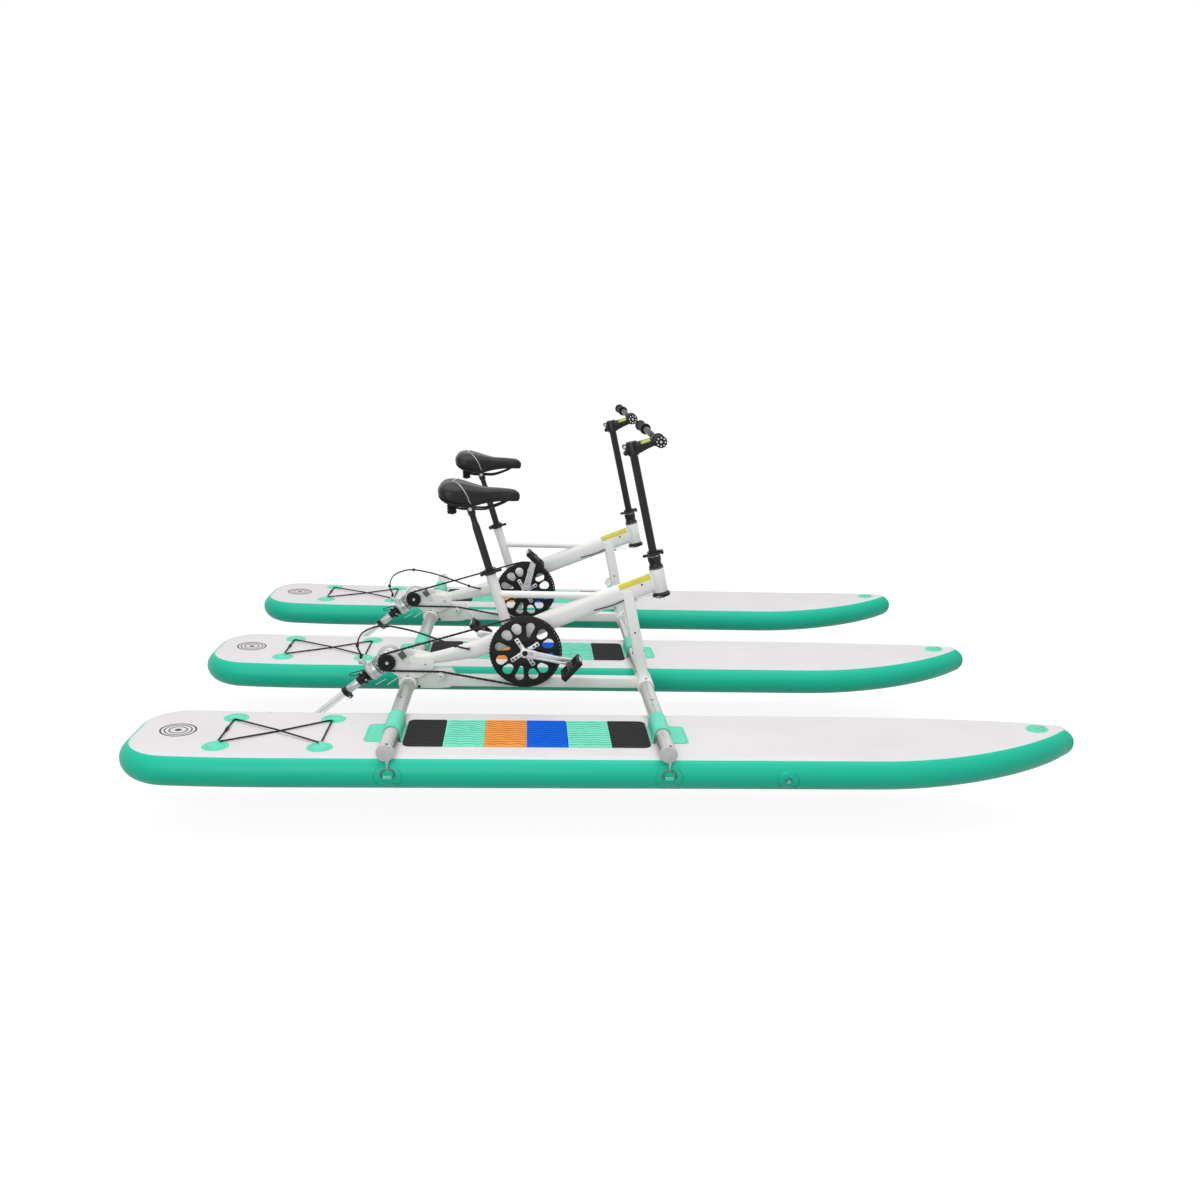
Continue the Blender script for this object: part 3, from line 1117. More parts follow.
def add_frame(put):
    """The welded frame: formed beam, tubes, strut, rail, lugs, yoke and weld beads, and small fittings."""
    stations = smooth_line([Vector(s) for s in BEAM], 7)
    beam = skin([beam_ring(stations, i, range(5, 365, 10)) for i in range(len(stations))])
    head = turned([(0.0176, HEAD_LENGTH), (0.0254, HEAD_LENGTH), (0.026, HEAD_LENGTH - 0.0008),
                   (0.026, 0.0008), (0.0254, 0), (0.0176, 0)], on_head(0), 48, ring=True)
    seat = turned([(0, 0.05), (0.0139, 0.05), (0.0139, SEAT_LENGTH), (0.0174, SEAT_LENGTH),
                   (0.018, SEAT_LENGTH - 0.0006), (0.018, 0), (0, 0)], on_seat(0), 40)
    top_rear = SEAT_FOOT + SEAT_AXIS * ((0.452 - SEAT_FOOT.z) / SEAT_AXIS.z)
    lugs = [sleeve((x, -0.06, TUBE_Z), (x, 0.06, TUBE_Z), 0.0253, 0.0298, 0.0012, 48)
            for x in TUBE_X.values()]
    strut_run = (STRUT_TOP - STRUT_FOOT).normalized()
    strut_place = along((STRUT_TOP + STRUT_FOOT) / 2, strut_run)
    low = TUBE_Z - 0.0298 + 0.005
    rail_z = TUBE_Z + 0.002
    gusset = [(x, low + z) for x, z in mm((-737, 14), (-731, 4), (-719, 0), (-595, 0), (-560, 3), (-545, 10))]
    gusset += [(-0.52, rail_z), (-0.55, 0.176), (-0.737, 0.176)]
    cheek = list(arc((TILT.x, TILT.z), 0.03, 60, 250, 24))
    cheek += mm((-725, 150), (-660, 152), (-628, 170), (-610, 188), (-610, 214), (-640, 226), (-690, 232))
    eye = circle(0.0206, (TILT.x, TILT.z))
    beads = [weld(circle(0.0184, steps=48), on_seat(0.16), -SEAT_AXIS, beam),
             weld(circle(0.0129), along((-0.1, 0, 0.452), (1, 0, 0)), Vector((1, 0, 0)), beam),
             weld(circle(0.0129), along((-0.2, 0, 0.452), (-1, 0, 0)), Vector((-1, 0, 0)), seat),
             weld(box_outline(0.0415, 0.0475), along(STRUT_FOOT.lerp(STRUT_TOP, 0.4), strut_run), -strut_run,
                  lugs[0])]
    put("frame_welded", ROOT, "paint", beam, head, seat, *beads, rod(top_rear, (0.03, 0, 0.452), 0.0125),
        block((0.041, 0.047, (STRUT_TOP - STRUT_FOOT).length), strut_place, 0.007, 4),
        block((0.882, 0.034, 0.04), at(-0.296, 0, rail_z), 0.005, 3),
        flat([gusset], 0.038, upright(0), 0.003, 2),
        block((0.06, 0.078, 0.056), at(-0.66, 0, 0.19), 0.006, 4),
        flat([cheek, eye], 0.005, upright(-0.039), 0.001, 2),
        flat([cheek, eye], 0.005, upright(0.039), 0.001, 2),
        sleeve((CRANK.x, -0.034, CRANK.z), (CRANK.x, 0.034, CRANK.z), 0.0096, 0.021, 0.0012, 48),
        block((0.046, 0.03, 0.056), at(CRANK.x, 0, CRANK.z + 0.028), 0.004, 3),
        rod((GUIDE.x, -0.05, GUIDE.z), (GUIDE.x, -0.01, GUIDE.z), 0.009),
        sleeve((-0.4845, -0.0235, 0.2565), (-0.4845, -0.01, 0.2565), 0.0065, 0.01, 0.001, 28), *lugs,
        stands_for=["frame"])
    put("chain_guide", ROOT, "white",
        turned(mirrored(mm((0, 6), (12.5, 6), (13.5, 5), (13.5, 4.5), (11.2, 3.5))),
               along((GUIDE.x, CHAIN_Y, GUIDE.z), -SIDE), 36))
    fasteners = [bolt(along((GUIDE.x, CHAIN_Y - 0.006, GUIDE.z), -SIDE), 0.005, 0.003)]
    for x, z in mm((-640, 203), (-640, 176), (-674, 176)):
        fasteners += [bolt(along((x, hand * 0.0412, z), (0, hand, 0)), 0.0042, 0.003) for hand in (-1, 1)]
    put("frame_bolts", ROOT, "stainless", *fasteners)
    # Dark screws and drain holes: down the strut, on the rail, and the slot that lets the seat tube close
    dark = [bolt(strut_place @ at(side * 0.0203, 0, height) @ spin(90 * side, "Y"), 0.0045, 0.0026)
            for side in (-1, 1) for height in (-0.13, -0.06)]
    dark += [bolt(along(strut_place @ Vector((0, hand * 0.0233, 0.02)), (0, hand, 0)), 0.003, 0.0018)
             for hand in (-1, 1)]
    dark.append(block((0.003, 0.003, 0.04), on_seat(SEAT_LENGTH - 0.036, -0.0172), 0.001, 2))
    dark += [bolt(along((-0.664, hand * 0.019, 0.1125), (0, hand, 0)), 0.0048, 0.0026) for hand in (-1, 1)]
    dark += [turned(mm((0, 0.8), (4.8, 0.8), (5.2, 0), (0, 0)), along((x, hand * 0.049, TUBE_Z + 0.0297), UP),
                    24) for hand in (-1, 1) for x in TUBE_X.values()]
    put("frame_screws", ROOT, "nylon", *dark)
    # Plain yellow film over the beam's upper right edge, behind the head tube
    fine = smooth_line([Vector(s) for s in BEAM], 66)
    spots = [i for i, s in enumerate(fine) if 0.045 < s[0] < 0.158]
    edge_out, edge_in = range(104, 164, 6), range(158, 98, -6)
    put("beam_label", ROOT, "label", skin([beam_ring(fine, i, edge_out, 0.0007)
                                           + beam_ring(fine, i, edge_in, -0.0005) for i in spots]), crease=50)
    put("beam_bolt", ROOT, "nylon", bolt(along((0.118, -0.0218, 0.5), -SIDE), 0.0035, 0.002))
    # Head cups, black, between the frame's head tube and the collar and pulley
    put("head_cups", ROOT, "anodised", sleeve(head_point(0.0005), head_point(0.004), 0.0174, 0.0266),
        sleeve(head_point(HEAD_LENGTH - 0.004), head_point(HEAD_LENGTH - 0.0003), 0.0174, 0.0266))


def add_column(put):
    """The steering column: collar with its waist, clamp with screw and lever, wire pulley below."""
    top = 0.1525
    collar = mm((0, 4), (14.4, 4), (14.4, 151.9), (15, 152.5), (20.5, 152.5), (21.5, 151.5), (21.5, 137.5),
                (20.8, 136.5), (20, 136), (20, 134.5), (22.6, 133.7), (23.5, 132.7), (23.5, 118), (21.8, 113),
                (21.4, 108), (22.2, 103), (24, 99), (25.5, 97.5), (25.5, 93.8), (24.7, 93), (17, 93),
                (17, -0.3), (26.5, -0.3), (27.5, -1), (31.8, -3.4), (32, -4.2), (32, -6), (31.6, -6.6),
                (28.5, -8), (31.6, -9.4), (32, -10), (32, -12.2), (31.2, -13.2), (20, -15), (0, -15))
    put("column_body", "steering_column", "anodised", turned(collar, on_head(0), 56),
        *ears((0.018, 0.0075, 0.013), on_head(top - 0.008, 0.0265)), stands_for=["steering_column"])
    put("column_fittings", "steering_column", "stainless",
        sleeve(head_point(top - 0.0185), head_point(top - 0.0163), 0.0195, 0.0219),
        *clamp_screw(on_head(top - 0.008, 0.03)),
        bolt(along(head_point(-0.0149), -HEAD_AXIS), 0.0065, 0.004))
    hub = Vector((0.03, -0.0148, top - 0.008))
    put("post_lever_arm", "post_lever", "anodised",
        *handle(hub, mm((0, 0), (-12, -9.5), (-30, -12), (-50, -10), (-64, -3)), on_head(0)),
        stands_for=["post_lever"])
    put("post_lever_pin", "post_lever", "stainless",
        bolt(on_head(0) @ Matrix.Translation(hub + UP * 0.006), 0.003, 0.0012))


def add_handlebar(put):
    """The handlebar: straight post, forged stem with its clamp plate, bent bar and two grips."""
    put("post_tube", "handlebar", "anodised", rod(head_point(0.067), head_point(0.5345), 0.0143),
        stands_for=["handlebar_post"])
    stem_foot = head_point(0.4965)
    stem_mid = head_point(0.5205)
    reach = (BAR_CENTRE - stem_mid).normalized()
    arm_rings = []
    for share, above, below, half_width in ((0.0, 0.019, 0.028, 0.0165), (0.25, 0.018, 0.0235, 0.0155),
                                            (0.55, 0.0162, 0.0185, 0.0145), (0.8, 0.0155, 0.016, 0.0155),
                                            (1.0, 0.016, 0.016, 0.018)):
        place = along(stem_mid.lerp(BAR_CENTRE, share), reach)
        ring = []
        for k in range(32):
            c, s = math.cos(math.pi * (k + 0.5) / 16), math.sin(math.pi * (k + 0.5) / 16)
            drop = (below if c > 0 else above) * math.copysign(abs(c) ** 0.8, c)
            ring.append(place @ Vector((drop, half_width * math.copysign(abs(s) ** 0.8, s), 0)))
        arm_rings.append(ring)
    lobes = along(stem_mid, HEAD_AXIS)
    bar = [BAR_END, BAR_END.lerp(BAR_BEND, 0.85), BAR_END.lerp(BAR_BEND, 0.97),
           BAR_BEND.lerp(BAR_CENTRE, 0.1), BAR_BEND.lerp(BAR_CENTRE, 0.55),
           Vector((BAR_CENTRE.x, 0.045, BAR_CENTRE.z)), BAR_CENTRE]
    bar += [Vector((spot.x, -spot.y, spot.z)) for spot in bar[-2::-1]]
    clamp = mirrored(mm((0, 22.5), (18, 22.5), (19.5, 21), (19.5, 1.5), (19, 1)))
    nut_lobes = [rod(lobes @ Vector((-0.0262, -0.0135, height)), lobes @ Vector((-0.0262, 0.0135, height)),
                     0.0078, 0.001) for height in (-0.0115, 0.0115)]
    put("stem", "handlebar", "anodised",
        turned(mm((14.4, 0), (18.3, 0), (19.5, 1.4), (19.5, 46), (18.3, 47.8), (6, 48), (5, 47), (0, 47),
                  (0, 38.2), (14.4, 38.2)), along(stem_foot, HEAD_AXIS), 48), skin(arm_rings),
        turned(clamp, along(BAR_CENTRE, SIDE), 48),
        block((0.016, 0.022, 0.034), lobes @ at(-0.0185, 0, 0), 0.003, 3), *nut_lobes,
        pipe(smooth_line(bar, 6), 0.0111, sides=8), stands_for=["handlebar"])
    put("stem_screw", "handlebar", "stainless",
        bolt(lobes @ at(-0.0262, -0.0133, 0.0115) @ spin(90, "X"), 0.005, 0.0034),
        bolt(along(stem_foot, HEAD_AXIS) @ at(0, 0, 0.0468), 0.004, 0.0014),
        *[bolt(along(BAR_CENTRE + reach * 0.0186 + SIDE * (hand * 0.0155), reach), 0.0032, 0.0026)
          for hand in (-1, 1)])
    put("stem_black_screw", "handlebar", "nylon",
        bolt(lobes @ at(-0.0262, -0.0133, -0.0115) @ spin(90, "X"), 0.005, 0.0034))
    strip = along(stem_mid.lerp(BAR_CENTRE, 0.55), reach) @ spin(47)
    put("stem_label", "handlebar", "green_label",
        block((0.0034, 0.0125, 0.034), strip @ at(-0.0152, 0, 0), 0.0003, 1))
    for hand, side in (("right", -1), ("left", 1)):
        end = Vector((BAR_END.x, side * BAR_END.y, BAR_END.z))
        outward = end - Vector((BAR_BEND.x, side * BAR_BEND.y, BAR_BEND.z))
        place = along(end, outward)
        body = mm((0, 6.4), (16.5, 7), (18.6, 6.2), (19.3, 4.8), (19.3, 1.6), (18.5, 0.4), (16.6, -0.8),
                  (16.3, -2), (16, -30), (16.8, -60), (16, -92), (16.3, -108), (18.5, -110.5), (19.3, -112),
                  (19.3, -120.5), (18.6, -121.8), (11.3, -122), (11.3, 0.3), (0, 0.3))
        put(f"{hand}_grip_rubber", "handlebar", "rubber", turned(body, place, 48),
            stands_for=[f"{hand}_grip"])
        put(f"{hand}_grip_ring", "handlebar", "anodised",
            sleeve(place @ Vector((0, 0, -0.1216)), place @ Vector((0, 0, -0.115)), 0.0118, 0.0198))
        dots = [turned(mm((0, 0.6), (2.4, 0.5), (2.9, 0), (0, 0)),
                       place @ at(0.0132 * math.cos(a), 0.0132 * math.sin(a), 0.0067), 16)
                for a in spread(8)]
        dots.append(turned(mm((0, 1), (3.6, 0.8), (4.3, 0), (0, 0)), place @ at(0, 0, 0.0064), 24))
        put(f"{hand}_grip_dots", "handlebar", "white", *dots)


def add_seat(put):
    """The seat clamp with its lever, and the seat post."""
    band_top = SEAT_LENGTH + 0.002
    band = [(radius, band_top - drop) for radius, drop in
            mm((18.3, 0), (22, 0), (22.8, 0.8), (22.8, 17.2), (22, 18), (18.3, 18))]
    put("clamp_band", ROOT, "anodised", turned(band, on_seat(0), 48, ring=True),
        *ears((0.016, 0.0075, 0.014), on_seat(band_top - 0.009, -0.0285)),
        stands_for=["seat_clamp"])
    put("clamp_bolt", ROOT, "stainless", *clamp_screw(on_seat(band_top - 0.009, -0.03)))
    hub = Vector((-0.03, -0.0148, band_top - 0.009))
    put("seat_lever_arm", "seat_lever", "anodised",
        *handle(hub, mm((0, 0), (12, -11), (30, -14), (52, -12), (66, -6)), on_seat(0)),
        stands_for=["seat_lever"])
    put("seat_lever_pin", "seat_lever", "stainless",
        bolt(on_seat(0) @ Matrix.Translation(hub + UP * 0.006), 0.003, 0.0012))
    put("seat_tube_post", "seat", "anodised",
        turned(mm((0, 438), (10.2, 438), (10.8, 437.4), (10.8, 408), (11.6, 405), (12.8, 396), (13.6, 392),
                  (13.6, 145.6), (13, 145), (0, 145)), on_seat(0), 40), stands_for=["seat_post"])


def add_saddle(put):
    """The sprung saddle: cushion, pan, coil springs, wire rails, clamp and piping."""
    sections = smooth_line([Vector(s) for s in SADDLE], 5)
    cushion = put("saddle_cushion", "seat", "vinyl", skin([saddle_ring(*s) for s in sections]),
                  stands_for=["saddle"], crease=80)
    pan = [(s[0], s[1] - 0.0015, s[1] + (s[2] - s[1]) * 0.3, s[3] * 0.97, 0.0) for s in sections[4:-4]]
    jaw_top = SEAT_FOOT + SEAT_AXIS * 0.4383
    springs = []
    wires = []
    for side in (-1, 1):
        foot = Vector((-0.546, side * 0.05, 0.744))
        tip = Vector((-0.548, side * 0.05, 0.786))
        coil = mm((0, 42), (13, 42), (15, 41.2))
        for k in range(4):
            z = 0.0375 - k * 0.0095
            coil += [(0.0165, z), (0.0165, z - 0.0045), (0.0138, z - 0.0062), (0.0138, z - 0.0078)]
        coil += mm((15.5, 0.8), (13, 0), (0, 0))
        springs.append(turned(coil, along(foot, tip - foot), 36))
        route = [(x, side * y, z) for x, y, z in
                 mm((-345, 10, 797), (-375, 14, 778), (-430, 22, 758), (-475, 22.5, 756), (-520, 22, 756),
                    (-538, 30, 768), (-552, 44, 790))]
        wires.append(pipe(smooth_line(route, 6), 0.0035, sides=4))
        wires.append(nut(along(foot + UP * 0.0005, -UP), 0.009, 0.0035))
    put("saddle_springs", "seat", "rubber", *springs)
    put("saddle_pan", "seat", "nylon", skin([saddle_ring(*s) for s in pan]), crease=80)
    jaw = Vector((jaw_top.x - 0.006, 0, 0.757))
    jaws = [turned(drum(0.0125, -0.0065, 0.0065, 0.0013), along(jaw + SIDE * (side * 0.0215), SIDE), 36)
            for side in (-1, 1)]
    put("saddle_rails", "seat", "anodised", *wires,
        turned(mm((0, 16), (12.5, 16), (13.6, 14.8), (13.6, 1.2), (12.5, 0), (0, 0)),
               along(jaw_top, SEAT_AXIS), 36),
        *jaws,
        rod(jaw - SIDE * 0.026, jaw + SIDE * 0.026, 0.0095))
    put("saddle_nuts", "seat", "stainless",
        *[nut(along(jaw + SIDE * (side * 0.0278), (0, side, 0)), 0.012, 0.0055) for side in (-1, 1)],
        rod(jaw - SIDE * 0.034, jaw + SIDE * 0.034, 0.0032))
    # Piping from the middle of the saddle's back, forward and down each side to its lower edge
    trim = []
    for side in (-1, 1):
        line = []
        for step in range(25):
            share = step / 24
            x = -0.547 + 0.067 * (1 - (1 - share) ** 1.5)
            i = max(k for k in range(len(sections) - 1) if sections[k][0] >= x)
            local = (sections[i][0] - x) / (sections[i][0] - sections[i + 1][0])
            shape = [a + (b - a) * local for a, b in zip(sections[i][1:], sections[i + 1][1:])]
            spot = saddle_spot(x, *shape, math.radians(89 - 124 * share))
            line.append(Vector((spot.x, side * spot.y, spot.z)))
        trim.append(pipe(line, 0.0018, sides=2))
    put("saddle_piping", "seat", "piping", *trim)


def add_crank(put, crank_angle):
    """The crank: pierced wheel, four-armed spider and forged arms."""
    cuts = []
    for quarter in range(4):
        spoke = crank_angle + quarter * math.pi / 2
        cuts.append(window(spoke, 0.0805, 0.027, 0.013, 0.031))
        cuts += [window(spoke + math.radians(petal), 0.0865, 0.0205, 0.029, 0.036) for petal in (31.5, 58.5)]
    face = CHAIN_Y - 0.002 - GAP
    put("wheel", "crank", "nylon", flat([wheel_outline(RING_TEETH), *cuts, circle(0.013)], 0.004,
                                        at(CRANK.x, 0, CRANK.z) @ upright(CHAIN_Y), 0.0005),
        stands_for=["chainring"], crease=50)
    right_y = face - 0.014
    left_y = -right_y - 0.014
    spider = []
    studs = []
    for quarter in range(4):
        turn = math.radians(45 + 90 * quarter)
        place = crank_pose(face - 0.002, crank_angle) @ Matrix.Rotation(turn, 4, "Z")
        limb = mirrored(mm((6, -9.5), (30, -7.4), (55.5, -7.8), (58, -6)))
        spider.append(flat([limb], 0.004, place, 0.0008, 2))
        studs += [bolt(place @ at(spot, 0, 0.0018), 0.0036, 0.0022) for spot in (0.037, 0.0505)]
    arms = []
    for y_arm, turn in ((right_y, 0.0), (left_y, math.pi)):
        pose = crank_pose(y_arm, crank_angle + turn)
        groove = [*arc((0.034, 0), 0.0062, 100, 260, 10), *arc((0.14, 0), 0.0048, -80, 80, 10)]
        arms.append(flat([arm_outline(), groove], 0.012, pose, 0.0018, 3))
        arms.append(flat([arm_outline(-0.003)], 0.008, pose, 0.0005))
    put("crank_arms", "crank", "polished", *arms, *spider,
        rod((CRANK.x, right_y, CRANK.z), (CRANK.x, face, CRANK.z), 0.0165, 0.001, 40),
        rod((CRANK.x, right_y, CRANK.z), (CRANK.x, left_y, CRANK.z), 0.009), stands_for=["crankset"])
    caps = [turned(mm((0, 2.2), (3, 2.2), (3.4, 1.2), (9, 1.6), (10, 0.6), (10, 0), (0, 0)),
                   along((CRANK.x, y_arm + out * 0.006, CRANK.z), (0, out, 0)), 36)
            for y_arm, out in ((right_y, -1), (left_y, 1))]
    put("crank_caps", "crank", "anodised", *studs, *caps)


def add_pedals(put, crank_angle, tilts):
    """The platform pedals on their spindles."""
    for hand, side, lean in zip(("right", "left"), (-1, 1), tilts):
        start = -0.0768 - GAP if side < 0 else 0.0628 + GAP
        centre = CRANK - Vector((math.cos(crank_angle), 0, math.sin(crank_angle))) * (CRANK_LENGTH * side)
        pose = Matrix.Translation(centre) @ spin(-lean, "Y")
        inner = start + side * 0.014
        middle = inner + side * 0.046
        cage = mm((-41, 46), (41, 46), (44, 43), (44, -43), (41, -46), (-41, -46), (-44, -43), (-44, 43))
        slits = []
        for sign in (-1, 1):
            for row in (-1, 1):
                spot_x, spot_y = sign * 0.0225, row * 0.019
                slits.append([(spot_x + dx * 0.01, spot_y + dy * 0.015)
                              for dx, dy in ((-1, -0.8), (-0.8, -1), (0.8, -1), (1, -0.8), (1, 0.8), (0.8, 1),
                                             (-0.8, 1), (-1, 0.8))])
        body = flat([cage, *slits], 0.0205, pose @ at(0, middle, 0), 0.003, 2)
        barrel = turned(mm((0, 44), (10, 44), (10.8, 42), (10.8, -44), (9.5, -45.5), (0, -45.5)),
                        pose @ at(0, middle, 0) @ spin(-90 * side, "X"), 32)
        grips_row = [turned(mm((0, 0.8), (1, 0.7), (1.4, 0), (0, 0)),
                            pose @ at(gx * 0.0385, middle + gy * 0.0105, face_side * 0.01)
                            @ (Matrix() if face_side > 0 else spin(180, "X")), 8)
                     for face_side in (-1, 1) for gx in (-1, 1) for gy in range(-4, 5)]
        put(f"{hand}_pedal_body", f"{hand}_pedal", "nylon", body, barrel, *grips_row,
            stands_for=[f"{hand}_pedal"])
        put(f"{hand}_pedal_spindle", f"{hand}_pedal", "stainless",
            rod(pose @ Vector((0, start, 0)), pose @ Vector((0, inner + side * 0.002, 0)), 0.0072),
            nut(pose @ at(0, start + side * 0.0015, 0) @ spin(-90 * side, "X"), 0.015, 0.004))
        put(f"{hand}_pedal_reflectors", f"{hand}_pedal", "white",
            *[block((0.0016, 0.046, 0.009), pose @ at(sign * 0.044, middle, 0), 0.0005, 1)
              for sign in (-1, 1)])


def add_chain(put):
    """The chain: rollers on every pin, narrow and wide link plates in turn."""
    spots = chain_places()
    poses = []
    for a, b in in_turn(spots):
        middle = (a + b) / 2
        angle = math.atan2(b.y - a.y, b.x - a.x)
        poses.append(at(middle.x, 0, middle.y) @ Matrix.Rotation(-angle, 4, "Y"))
    roller = turned(mirrored(mm((0, 4.1), (1.2, 4.1), (1.2, 2.4), (2.6, 2.4))), along((0, CHAIN_Y, 0), SIDE),
                    8)
    put("chain_links", ROOT, "chain", repeated(link_plates(0.0035), poses[::2]),
        repeated(link_plates(0.0024), poses[1::2]), repeated(roller, [at(s.x, 0, s.y) for s in spots]),
        stands_for=["chain"], crease=30)


def add_gearbox(put):
    """The small chain wheel with its guard, the bevel housing and its barrel."""
    outer = CHAIN_Y - 0.002
    guard = mm((0, -44.8), (16, -44.8), (16, -57.5), (27.5, -58.5), (29, -59.3), (29.4, -60.7), (28.5, -62.1),
               (23.5, -62.5), (22.5, -61.1), (15, -60.9), (14, -62.7), (0, -62.7))
    pegs = [turned(mm((0, 1.8), (2.6, 1.6), (3, 0), (0, 0)),
                   along((TILT.x + 0.0188 * math.cos(a), outer - 0.0044, TILT.z + 0.0188 * math.sin(a)),
                         -SIDE), 16) for a in spread(8)]
    put("drive_wheel", "drive_sprocket", "nylon", turned(guard, along(TILT, SIDE), 48), *pegs,
        flat([wheel_outline(SPROCKET_TEETH)], 0.004, at(TILT.x, 0, TILT.z) @ upright(CHAIN_Y), 0.0004),
        stands_for=["drive_sprocket"])
    put("drive_wheel_bolt", "drive_sprocket", "stainless",
        bolt(along((TILT.x, outer - 0.006, TILT.z), -SIDE), 0.0058, 0.005))
    shell = mirrored(mm((0, 30), (32.5, 30), (34.5, 28.5), (39.5, 25.5), (42.2, 21.5), (43, 18), (43, 3),
                        (42, 1.5)))
    barrel = mm((0, 0), (29, 0), (29, -36.8), (33.5, -37.2), (34.5, -38), (34.5, -40), (33.5, -40.8),
                (30, -41.5), (30, -44.5), (33.5, -45.2), (34.5, -46), (34.5, -48.4), (33.5, -49.2), (30, -50),
                (30, -53), (31.8, -53.6), (32.2, -54.5), (32.2, -70), (31.4, -70.8), (31.4, -72.2),
                (32.2, -73), (32.2, -84.5), (31.2, -86.8), (28.5, -88.5), (23.5, -91.5), (22.5, -92),
                (0, -92))
    ribs = [block((0.006, 0.0035, 0.026), on_leg(0.048) @ Matrix.Rotation(a, 4, "Z") @ at(0.0325, 0, 0.014),
                  0.001, 2) for a in spread(12)]
    put("gearbox_casting", "gearbox", "cast", turned(shell, along(TILT, SIDE), 56),
        turned(barrel, on_leg(0), 48), *ribs,
        rod(TILT - SIDE * 0.0445, TILT + SIDE * 0.0445, 0.02, 0.001, 48),
        block((0.027, 0.024, 0.008), on_leg(0.08, -0.0415), 0.0025, 3),
        block((0.016, 0.022, 0.02), Matrix.Translation(STOP - UP * 0.01), 0.0025, 3), stands_for=["gearbox"])
    screws = [bolt(along(TILT + Vector((0.0345 * math.cos(a), side * 0.0283, 0.0345 * math.sin(a))),
                         (0, side, 0)), 0.003, 0.0022) for side in (-1, 1) for a in spread(6, math.pi / 6)]
    put("gearbox_screws", "gearbox", "stainless", *screws)
    put("gearbox_bands", "gearbox", "nylon",
        *[sleeve(leg_point(d + 0.0036), leg_point(d), 0.028, 0.0318) for d in (0.041, 0.0496)],
        *[sleeve((STOP.x, side * 0.0055, STOP.z - 0.003), (STOP.x, side * 0.0055, STOP.z + 0.012), 0.003,
                 0.0046) for side in (-1, 1)])
    # Spring wire loop under the cable stop, and the white ties round the barrel and the yoke
    hook = smooth_line(mm((-858, -20, 172), (-872, -20, 168), (-892, -20, 162), (-903, -20, 159),
                          (-908, -20, 154), (-903, -20, 150), (-890, -20, 152), (-874, -20, 156)), 6)
    put("gearbox_hook", "gearbox", "cable", pipe(hook, 0.0018, sides=3))
    put("gearbox_tie", "gearbox", "white", sleeve(leg_point(0.0785), leg_point(0.0745), 0.032, 0.0334),
        pipe(mm((-779.5, -21.5, 140), (-816.5, -20, 117.7)), 0.0013))
    put("yoke_tie", ROOT, "white", pipe(smooth_line(mm((-712, -44.5, 172), (-722, -45.5, 166),
                                                       (-745, -43, 146), (-773.6, -40, 124.8)), 6), 0.0016),
        block((0.009, 0.006, 0.012), at(-0.711, -0.0455, 0.175) @ spin(40, "Y"), 0.001, 2))
    # Grey block on a small white bracket, tilted on the yoke's right cheek just ahead of the small wheel
    tilted = at(-0.7185, -0.0475, 0.2385) @ spin(-38, "Y")
    put("yoke_bracket", ROOT, "white", block((0.03, 0.009, 0.034), tilted, 0.002, 3),
        block((0.016, 0.01, 0.03), at(-0.706, -0.044, 0.218) @ spin(-38, "Y"), 0.002, 3))
    put("yoke_block", ROOT, "grey", block((0.022, 0.006, 0.026), tilted @ at(0, -0.006, 0), 0.0015, 3))


